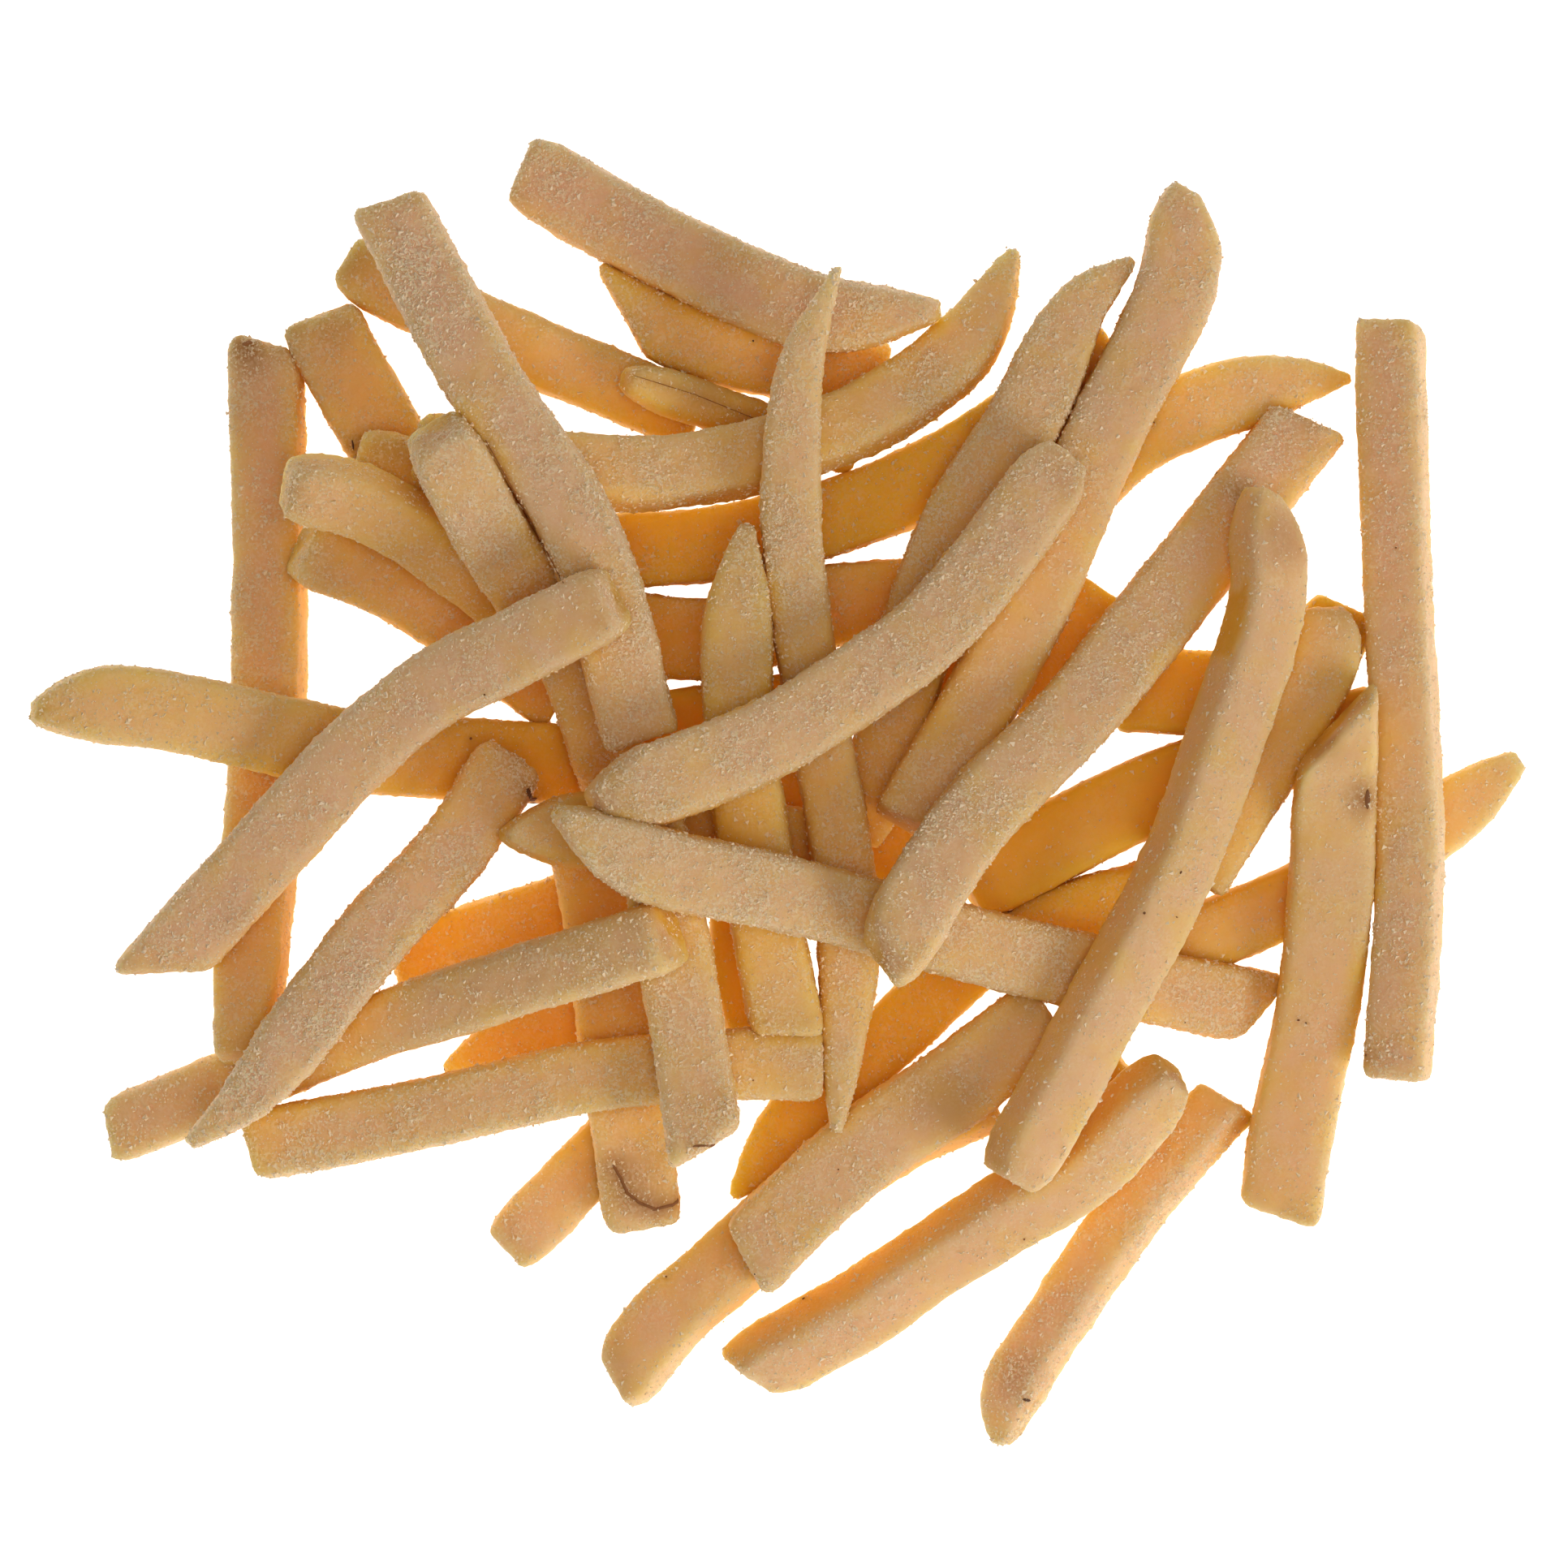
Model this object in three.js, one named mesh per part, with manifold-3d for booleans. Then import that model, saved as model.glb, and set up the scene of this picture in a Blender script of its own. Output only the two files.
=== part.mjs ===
// A loose heap of straight-cut potato fries, lying on a flat surface.
//
// Every fry is a soft-cornered square bar, bent a little, with cut or tapering ends. They are laid
// one over another from the lowest to the topmost, settle under their own weight, and are joined
// where they press together, so that the heap is one solid. Millimetres, +Z up, the origin in the
// middle of the heap on the surface it lies on.

import * as THREE from "three";
import { mergeVertices } from "three/addons/utils/BufferGeometryUtils.js";
import Module from "manifold-3d";

// ---- driving dimensions, mm ----
const HEAP_CENTRE = [96.4, 95.6]; // middle of the heap, in the frame the centre lines are given in
const CORNER = 1.6; // rounding along the four long edges of a fry
const CORNER_CUT = 0.8; // share of that rounding that the flat over each corner takes off
const PRESS = 0.6; // how far two fries give into each other where they touch
const FLOOR_PRESS = 0.5; // how much the lowest ones are flattened by the surface
const SIDE_PLAY = 1.3; // fries that overlap by less than this lie side by side
const SLANT_REACH = 12; // length over which a slanted cut fades out
const STATION_STEP = 2; // spacing of the places where contacts are looked for
const SHORT_END_SHARE = 0.2; // most of a short fry that one end's sections take up
const RING_STEP = 16; // spacing of the sections a fry is modelled by
const END_STEPS = [3, 10]; // where the extra sections near an end lie, which shape its taper
const BOW_SHARE = 0.03; // most that a long fry sags or arches, as a share of its length
const BOW_LENGTH = 90; // length that share is given for: a shorter fry is stiffer
const GROUND = { side: 300, depth: 20 }; // block under the heap that its flattened feet are cut with
const COLOUR = 0xd9a866;

// How a fry ends: [size left at the very end, length it tapers over, slant of the cut]
const CUT = [1, 0, 0];
const SOFT = [0.8, 4, 0];

// Name, centre line seen from above, width, depth, roll in degrees, start and far end.
// They are in laying order: each one lies over those before it that it crosses.
const FRIES = [
  ["amber_low_diagonal", [[90.5, 46], [98.5, 55.5], [110, 66], [121, 75.5], [132, 80.5], [143, 83.5]],
    8, 8, 0, [0.2, 14, 0], CUT],
  ["deep_left", [[74.5, 102.5], [85, 104], [101, 106.5]],
    8.6, 8.1, 0, CUT, CUT],
  ["deep_slope", [[121.5, 114], [115, 101], [107, 85]],
    9.4, 8.5, 0, CUT, CUT],
  ["hidden_slope", [[136, 120.5], [131, 112.5], [126, 105]],
    9, 8.5, 0, CUT, CUT],
  ["deep_upright", [[97.5, 99.5], [93.2, 87], [92.6, 77], [94.6, 66.5]],
    9.8, 8.5, 0, CUT, CUT],
  ["hidden_flat", [[137.5, 108], [143, 108], [151.5, 107.5]],
    10.4, 8.5, 0, CUT, CUT],
  ["amber_long", [[74, 125], [87, 126], [101.5, 129], [115, 134.5], [129, 143.5], [137.5, 150]],
    9.2, 8.7, 0, CUT, CUT],
  ["amber_sliver", [[55, 61.5], [64, 65], [76, 68.5], [84, 70]],
    8.5, 7.6, 0, [0.15, 14, 0], CUT],
  ["right_reach", [[144, 76], [156, 81], [169, 87], [178, 92.5], [187, 99.5]],
    8.6, 8.5, 0, CUT, [0.3, 13, 0]],
  ["amber_right", [[119, 83.5], [142, 95.5], [170, 104]],
    9.8, 8.5, 0, [0.7, 4, 0], CUT],
  ["amber_left", [[48.5, 74.5], [60, 78], [75, 83]],
    9, 8.1, 0, SOFT, CUT],
  ["under_crown", [[70, 117], [87, 114.5], [102, 118.5], [113, 119.5]],
    9.9, 8.5, 0, CUT, CUT],
  ["upper_left_long", [[43, 161], [50, 157], [65, 150], [74, 146.5], [86, 141.5]],
    8.3, 8.5, 0, [0.7, 5, 0], CUT],
  ["hidden_bottom", [[139.5, 61], [133, 55.5], [126, 50]],
    9, 8.5, 0, SOFT, CUT],
  ["tip_behind", [[165.5, 118.5], [163.5, 114], [161, 109.5]],
    9, 8.5, 0, SOFT, CUT],
  ["upper_left_stub", [[39.5, 154], [43.5, 146], [56.5, 124]],
    9.9, 8.5, 0, [0.9, 3, 0.1], CUT],
  ["brown_eyed_stub", [[44.5, 136.5], [50.5, 135], [55, 133.5]],
    7.9, 8.1, 0, SOFT, CUT],
  ["split_sliver", [[77.3, 146.2], [90, 142], [105, 137.5]],
    5.6, 5.4, 0, [0.5, 6, 0], CUT],
  ["amber_leaf", [[76.5, 155], [90, 149.5], [109, 146.5]],
    8.6, 7.6, 0, [0.9, 1, -1.2], CUT],
  ["wavy_right", [[166, 146.5], [159, 146], [151, 144], [140, 139.5], [133, 133]],
    9.2, 8.2, 0, [0.1, 16, 0], CUT],
  ["bottom_stub", [[62.5, 39.5], [68.5, 45.5], [74.5, 51.5]],
    8, 8.2, 0, [0.8, 5, 0], [1, 0, 1]],
  ["right_slope", [[162.5, 118], [162.5, 112], [157.5, 102.5], [153, 95.5], [146.5, 85]],
    8.9, 8.5, 0, [0.55, 6, 0], CUT],
  ["bottom_left_round", [[76, 23], [82.5, 31], [88.5, 36.5], [100, 46.5], [112.5, 54.5], [122, 58.5]],
    8.8, 8.8, -12, [0.7, 4, 0.4], CUT],
  ["leaf_top_right", [[139, 160.5], [132.5, 154.5], [126, 141], [117, 127], [110, 104], [107.5, 89]],
    9, 8.5, 0, [0.1, 18, 0], [0.15, 14, 0]],
  ["curved_bar", [[52, 137.5], [70.5, 135], [85, 135], [103, 140], [118, 149.5], [125, 161.5]],
    8.4, 8.3, -12, SOFT, [0.15, 18, 0]],
  ["cracked_end", [[72.5, 89], [74.5, 79.5], [76.5, 65], [79.5, 42.5]],
    9.7, 8.5, 0, CUT, [0.85, 3, 0]],
  ["pink_end", [[62.5, 90.4], [73, 90.9], [88, 90.4], [102, 88.6]],
    9.4, 8.1, 0, [0.15, 10, 0], CUT],
  ["bottom_right_tip", [[151.2, 57.9], [140.5, 45.5], [131.5, 32.5], [125, 22.5], [123.5, 15.5]],
    7.2, 7, 24, [0.97, 1, -0.16], [0.2, 9, 0]],
  ["bottom_broad", [[92, 24], [105, 31.5], [113.5, 37.5], [124.5, 44.5], [134, 50.5], [144, 61.5]],
    8.3, 8, 32, [0.7, 4, -0.5], [0.6, 6, 0]],
  ["lower_mid_broad", [[92, 38.5], [99.5, 46], [108.5, 53.5], [118, 60], [129, 68.5]],
    10.2, 8.9, 0, [0.9, 3, 0.27], CUT],
  ["lower_left_flat", [[31.5, 52.5], [53, 56.5], [73.5, 61], [90.5, 62.5], [101, 62.5]],
    8.7, 8.4, 0, [0.9, 3, -0.1], [0.95, 2, 0]],
  ["middle_upright", [[92, 128], [91, 115], [91.5, 100], [94.5, 79.5], [97, 66.5]],
    8.8, 8.5, 0, [0.2, 16, 0], [0.95, 2, 0.2]],
  ["tall_top_right", [[146, 169.5], [144.5, 157], [136.5, 141], [125.5, 116], [112, 91.5]],
    9.5, 8.7, 0, [0.35, 8, 0.5], CUT],
  ["top_bar", [[64.5, 172], [73.5, 167], [82.5, 162], [92, 157.5], [102, 154], [115, 154.5]],
    9.8, 8.9, 0, [0.85, 4, -0.1], [0.2, 16, 0]],
  ["middle_stub", [[79.5, 94.5], [81.5, 85.5], [84.5, 69.5], [87, 52.5]],
    9.1, 8.5, 0, CUT, [0.95, 2, -0.43]],
  ["lower_left_long", [[14.5, 54], [27, 59], [45.5, 66.5], [61, 71.5], [82.5, 78.5]],
    8.2, 8.1, 0, [0.85, 3, 0.2], CUT],
  ["left_upright", [[33, 150.5], [33.5, 108], [31.5, 75.5], [30, 63]],
    8.8, 8.5, 9, [0.75, 3, 0.3], [0.55, 14, 0]],
  ["left_reach", [[5.5, 105.5], [18, 106], [45.5, 100.5], [73, 99]],
    9.8, 8.5, 0, [0.25, 11, 0.1], CUT],
  ["left_under", [[37.5, 125.5], [47.5, 121.5], [56, 116.5], [69, 107]],
    8.7, 8.5, 0, SOFT, CUT],
  ["rolled_left", [[36, 132.5], [43, 131.5], [50.5, 128], [62.5, 119.5]],
    8.1, 7.8, 20, [0.75, 4, 0], CUT],
  ["upper_left_inner", [[54.5, 139], [62, 125.5], [71, 112], [76.5, 96.5]],
    9.1, 8.5, 0, [0.75, 4, 0], CUT],
  ["thin_upright", [[103, 159], [98.5, 146.5], [97.5, 128], [100, 108], [103, 92], [104.5, 77], [103, 54.5]],
    7.4, 7.6, 0, [0.1, 28, 0], [0.12, 24, 0]],
  ["long_crossbar", [[69.5, 93], [80.5, 87], [100, 82.5], [129.5, 74.5], [154.3, 69.2]],
    9.1, 8.5, 0, [0.15, 13, 0], [0.92, 2, 0.54]],
  ["right_inner_upright", [[164.1, 103.6], [163.6, 93], [163.5, 83.5], [162, 69], [159, 54.5], [157.5, 44]],
    10.3, 8.5, 0, [0.86, 12, -1.2], [0.92, 2, 0.2]],
  ["right_outer_upright", [[171, 153], [171.5, 133], [172.5, 103], [173, 83.5], [171.5, 60.5]],
    8.1, 8.5, 12, [0.95, 2, 0.1], [0.95, 2, 0]],
  ["long_slope", [[160.5, 140.5], [141, 116], [130.5, 103.5], [118.5, 91], [109, 76]],
    9.8, 8.9, 0, [1, 0, -0.24], [0.7, 5, 0.4]],
  ["right_bridge", [[155, 132.5], [155.5, 119], [150.5, 103], [144.5, 86.5], [135.5, 69.5], [124, 48.5]],
    8.1, 7.9, -26, [0.35, 8, 0.35], [0.7, 5, 0]],
  ["upper_left_bridge", [[48.5, 167], [60.5, 145], [72, 127], [79.5, 102]],
    9.4, 8.7, 0, [0.9, 3, 0.2], CUT],
  ["crown", [[131, 136.5], [117, 118], [105, 108.5], [93.5, 101.5], [74, 94]],
    9.7, 8.9, 0, [0.6, 6, 0], [0.4, 8, 0]],
  ["left_bridge", [[76, 119], [64, 113], [50, 105], [31.5, 86], [21, 74]],
    9.4, 8.5, 0, SOFT, [0.9, 2, -0.9]],
  ["left_slope", [[63.5, 99.5], [56.5, 89], [46, 77.5], [33, 60.5], [24.5, 53]],
    8.9, 8.5, 0, [0.85, 3, 0], [0.15, 22, 0]],
].map(([name, line, wide, deep, roll, start, end]) => ({
  name,
  line: line.map(([x, y]) => new THREE.Vector3(x - HEAP_CENTRE[0], y - HEAP_CENTRE[1], 0)),
  wide,
  deep,
  roll: THREE.MathUtils.degToRad(roll),
  start,
  end,
}));

// ---- one fry ----

// Share of its full size that a fry has left at a distance from one end.
function endShare([share, reach], distance) {
  if (reach === 0) return 1;
  const x = THREE.MathUtils.clamp(distance / reach, 0, 1);
  return share + (1 - share) * (1 - (1 - x) ** 2);
}

// The same for both ends. The width tapers fully, the depth only half as much.
function shareAt(fry, along) {
  return endShare(fry.start, along) * endShare(fry.end, fry.length - along);
}

// Width and depth as they lie, once the square section is rolled about its centre line.
function acrossRolled(first, second, roll) {
  const turn = Math.abs(roll);
  return (first - 2 * CORNER) * Math.cos(turn) + (second - 2 * CORNER) * Math.sin(turn) + 2 * CORNER;
}

// A point of the centre line with its direction, its left side and the half sizes of the section.
function stationAt(fry, along) {
  const share = Math.min(1, along / fry.length);
  const point = fry.curve.getPointAt(share);
  const direction = fry.curve.getTangentAt(share);
  const size = shareAt(fry, along);
  return {
    place: share - 0.5,
    point,
    direction,
    side: new THREE.Vector3(-direction.y, direction.x, 0),
    size,
    halfWide: (acrossRolled(fry.wide, fry.deep, fry.roll) / 2) * size,
    halfDeep: (acrossRolled(fry.deep, fry.wide, fry.roll) / 2) * ((1 + size) / 2),
  };
}

function prepare(fry) {
  fry.curve = new THREE.CatmullRomCurve3(fry.line, false, "catmullrom", 0.5);
  fry.length = fry.curve.getLength();
  const steps = Math.ceil(fry.length / STATION_STEP);
  fry.stations = [];
  for (let k = 0; k <= steps; k++) fry.stations.push(stationAt(fry, (fry.length * k) / steps));
  fry.step = fry.length / steps;
  fry.weight = (fry.length * fry.wide * fry.deep) / WEIGHT_UNIT;
}

// ---- how the fries rest on one another ----
const WEIGHT_UNIT = 4000; // volume of a middling fry, which the others are weighed against
const TIPPING = 12; // how much more readily a bar tips than it is lifted, pushed at its end
const BENDING = 54; // the same for bending, for a limp cooked fry
const STEP_REACH = 0.55; // share of a step within which a place counts as next to a station
const ACROSS = [-1, -0.5, 0, 0.5, 1]; // where contacts are looked for across a fry

// How far the rounded edge lies below the flat of a face, at a distance from its middle.
function edgeDrop(fromMiddle, halfWide) {
  const x = THREE.MathUtils.clamp(Math.abs(fromMiddle) - (halfWide - CORNER), 0, CORNER);
  return CORNER - Math.sqrt(CORNER ** 2 - x ** 2);
}

// A resting fry's height is [middle height, rise from end to end, bow], weighed at a place along it.
function weights(place) {
  return [1, place, 1 / 12 - place ** 2];
}

function heightAt(fry, at) {
  return fry.rest[0] * at[0] + fry.rest[1] * at[1] + fry.rest[2] * at[2];
}

// The places where one fry crosses over another, with the least distance between centre lines.
function contactsBetween(upper, lower) {
  const found = [];
  for (const here of upper.stations) {
    let deepest = null;
    for (const across of ACROSS) {
      const offset = across * (here.halfWide - SIDE_PLAY);
      const point = here.point.clone().addScaledVector(here.side, offset);
      let nearest = lower.stations[0];
      for (const there of lower.stations) {
        if (there.point.distanceToSquared(point) < nearest.point.distanceToSquared(point)) nearest = there;
      }
      if (nearest === lower.stations[0] || nearest === lower.stations.at(-1)) continue;
      const away = point.clone().sub(nearest.point);
      const aside = Math.abs(away.dot(nearest.side));
      if (aside > nearest.halfWide - SIDE_PLAY) continue;
      if (Math.abs(away.dot(nearest.direction)) > lower.step * STEP_REACH) continue;
      const underUpper = here.halfDeep - edgeDrop(offset, here.halfWide);
      const overLower = nearest.halfDeep - edgeDrop(aside, nearest.halfWide);
      const apart = underUpper + overLower - PRESS;
      if (!deepest || apart > deepest.apart) {
        deepest = { upper, lower, apart, on: weights(here.place), under: weights(nearest.place) };
      }
    }
    if (deepest) found.push(deepest);
  }
  return found;
}

// How readily a fry gives way at a place: it is lifted, tipped and bent by a push there.
function yielding(fry, at) {
  return fry.give.reduce((sum, give, k) => sum + give * at[k] ** 2, 0);
}

function push(fry, at, amount) {
  for (let k = 0; k < 3; k++) fry.rest[k] += amount * fry.give[k] * at[k];
  fry.rest[2] = THREE.MathUtils.clamp(fry.rest[2], -fry.mostBow, fry.mostBow);
}

// Lets the heap settle: every fry sinks in small steps that die away, and whatever then lies too
// deep in a fry below or in the surface is pushed apart again.
const SETTLING_ROUNDS = 400;
const FIRST_DROP = 0.4;
const LAST_DROP = 0.002;
const PUSHES_PER_ROUND = 3;
const BOW_FACTOR = 4; // turns a sag in the middle into the third of a fry's rest values

function settle(fries) {
  const contacts = [];
  fries.forEach((upper, k) => {
    for (const lower of fries.slice(0, k)) contacts.push(...contactsBetween(upper, lower));
  });
  for (const fry of fries) {
    const last = fry.stations.length - 1;
    fry.feet = [0, Math.round(last / 2), last].map((k) => {
      const { place, halfDeep } = fry.stations[k];
      return { at: weights(place), lift: halfDeep - FLOOR_PRESS };
    });
    fry.give = [1, TIPPING, BENDING].map((readiness) => readiness / fry.weight);
    fry.mostBow = (BOW_FACTOR * BOW_SHARE * fry.length ** 2) / BOW_LENGTH;
    fry.rest = [fry.feet[1].lift, 0, 0];
  }
  for (let round = 0; round < SETTLING_ROUNDS; round++) {
    const drop = FIRST_DROP * (1 - round / SETTLING_ROUNDS) ** 2 + LAST_DROP;
    for (const fry of fries) fry.rest[0] -= drop;
    for (let k = 0; k < PUSHES_PER_ROUND; k++) {
      for (const { upper, lower, apart, on, under } of contacts) {
        const short = apart - (heightAt(upper, on) - heightAt(lower, under));
        if (short <= 0) continue;
        const amount = short / (yielding(upper, on) + yielding(lower, under));
        push(upper, on, amount);
        push(lower, under, -amount);
      }
      for (const fry of fries) {
        for (const { at, lift } of fry.feet) {
          const short = lift - heightAt(fry, at);
          if (short > 0) push(fry, at, short / yielding(fry, at));
        }
      }
    }
  }
}

// ---- solids ----

const MOST_ROUND = 0.9; // share of a thin end's half size that its rounding may take up

// The eight corners of a section, as [across, up] from its centre.
function sectionCorners(halfWide, halfDeep, roll) {
  const cut = Math.min(CORNER, halfWide * MOST_ROUND, halfDeep * MOST_ROUND) * CORNER_CUT;
  const corners = [
    [halfWide, -halfDeep + cut],
    [halfWide, halfDeep - cut],
    [halfWide - cut, halfDeep],
    [-halfWide + cut, halfDeep],
    [-halfWide, halfDeep - cut],
    [-halfWide, -halfDeep + cut],
    [-halfWide + cut, -halfDeep],
    [halfWide - cut, -halfDeep],
  ];
  const middle = new THREE.Vector2();
  return corners.map(([x, y]) => new THREE.Vector2(x, y).rotateAround(middle, roll).toArray());
}

// The ring of points round a fry at a station. The cut's slant shifts them along the fry.
function ringAt(fry, along) {
  const { place, point, direction, side, size } = stationAt(fry, along);
  const fromStart = fry.start[2] * Math.max(0, 1 - along / SLANT_REACH);
  const fromEnd = fry.end[2] * Math.max(0, 1 - (fry.length - along) / SLANT_REACH);
  const rise = (fry.rest[1] - 2 * fry.rest[2] * place) / fry.length;
  const up = new THREE.Vector3(-rise * direction.x, -rise * direction.y, 1).normalize();
  const halfDeep = (fry.deep / 2) * ((1 + size) / 2);
  return sectionCorners((fry.wide / 2) * size, halfDeep, fry.roll).map(([x, y]) => {
    const corner = point.clone().setZ(heightAt(fry, weights(place)));
    corner.addScaledVector(side, x).addScaledVector(up, y);
    return corner.addScaledVector(direction, (fromStart + fromEnd) * x);
  });
}

function fryGeometry(fry) {
  const shorter = Math.min(1, (fry.length * SHORT_END_SHARE) / END_STEPS[1]);
  const [nearEnd, endLength] = END_STEPS.map((step) => step * shorter);
  const inner = fry.length - 2 * endLength;
  const spans = Math.max(1, Math.round(inner / RING_STEP));
  const places = [0, nearEnd];
  for (let k = 0; k <= spans; k++) places.push(endLength + (inner * k) / spans);
  places.push(fry.length - nearEnd, fry.length);
  const rings = places.map((along) => ringAt(fry, along));

  const sides = rings[0].length;
  const index = [];
  for (let r = 0; r + 1 < rings.length; r++) {
    for (let k = 0; k < sides; k++) {
      const a = r * sides + k;
      const b = r * sides + ((k + 1) % sides);
      index.push(a, b, b + sides, a, b + sides, a + sides);
    }
  }
  const last = (rings.length - 1) * sides;
  for (let k = 1; k + 1 < sides; k++) {
    index.push(0, k + 1, k);
    index.push(last, last + k, last + k + 1);
  }
  const geometry = new THREE.BufferGeometry().setFromPoints(rings.flat());
  geometry.setIndex(index);
  return geometry;
}

// ---- joining ----
const wasm = await Module();
wasm.setup();

function toSolid(geometry) {
  geometry.deleteAttribute("normal");
  geometry.deleteAttribute("uv");
  const merged = mergeVertices(geometry);
  return new wasm.Manifold(
    new wasm.Mesh({
      numProp: 3,
      vertProperties: new Float32Array(merged.attributes.position.array),
      triVerts: new Uint32Array(merged.index.array),
    }),
  );
}

function toGeometry(solid) {
  const { vertProperties, triVerts } = solid.getMesh();
  const geometry = new THREE.BufferGeometry();
  geometry.setAttribute("position", new THREE.BufferAttribute(vertProperties, 3));
  geometry.setIndex(new THREE.BufferAttribute(triVerts, 1));
  geometry.computeVertexNormals();
  return geometry;
}

// ---- the heap ----
function friesHeap() {
  for (const fry of FRIES) prepare(fry);
  settle(FRIES);
  const joined = FRIES.map((fry) => toSolid(fryGeometry(fry))).reduce((heap, fry) => heap.add(fry));
  const ground = new THREE.BoxGeometry(GROUND.side, GROUND.side, GROUND.depth);
  ground.translate(0, 0, -GROUND.depth / 2);
  const resting = joined.subtract(toSolid(ground));
  const material = new THREE.MeshStandardMaterial({ color: COLOUR, roughness: 0.75, metalness: 0 });
  const mesh = new THREE.Mesh(toGeometry(resting), material);
  mesh.name = "fries_heap";
  return mesh;
}

const group = new THREE.Group();
group.add(friesHeap());

export default group;
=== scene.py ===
# %% [markdown]
# # A heap of straight-cut fries
# Frozen fries are potatoes cut into square bars, blanched, fried for a moment and frozen. Tipped out on
# a surface they lie across one another in a loose heap. This lesson builds such a heap fry by fry: where
# each one lies, how it settles on those below, its rounded bar with its rough skin, the frost on it, and
# the flesh that glows where light comes through it.
#
# The imported model is loaded first. It is the plain solid that the detailed fries take the place of, and
# its box is kept.

# %% Load the imported model
import math
import random

import bmesh
import bpy
import numpy as np
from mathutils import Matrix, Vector, noise
from mathutils.bvhtree import BVHTree


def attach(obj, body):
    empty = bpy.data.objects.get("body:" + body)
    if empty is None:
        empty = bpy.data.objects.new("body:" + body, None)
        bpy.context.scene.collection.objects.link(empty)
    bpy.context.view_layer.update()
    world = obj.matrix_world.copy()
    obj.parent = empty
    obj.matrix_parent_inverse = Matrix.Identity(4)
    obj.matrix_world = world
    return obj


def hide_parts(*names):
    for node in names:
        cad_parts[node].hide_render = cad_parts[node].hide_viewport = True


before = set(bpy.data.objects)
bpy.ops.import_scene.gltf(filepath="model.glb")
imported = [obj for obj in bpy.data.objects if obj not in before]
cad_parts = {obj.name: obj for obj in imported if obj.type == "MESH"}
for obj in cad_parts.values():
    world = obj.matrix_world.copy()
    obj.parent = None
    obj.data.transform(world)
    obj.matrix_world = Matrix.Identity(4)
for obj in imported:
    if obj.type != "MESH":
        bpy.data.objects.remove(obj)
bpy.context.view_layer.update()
MM = 0.001

# %% [markdown]
# ## The fries, one by one
# Every fry is described by a few real sizes: its centre line seen from above, its width and depth, how
# far it is rolled over, and how each end is cut. A cut end keeps its full size, and a pointed one loses
# part of it over its last stretch. Two more numbers say how it looks: `amber`, how deep the colour of
# its flesh is, and `frost`, how thickly ice lies on it. `amber` is partly the flesh's own tone and partly
# painted shade: the lower fries, which light reaches only through others, get more of it. They stand in
# laying order, so each fry lies over those before it. Millimetres.

# %% The list of fries
CUT = (1, 0, 0)  # size left at the very end, length it tapers over, slant of the cut
SOFT = (0.8, 4, 0)
HEAP_CENTRE = np.array((96.4, 95.6))  # middle of the heap, in the frame of the centre lines

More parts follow.
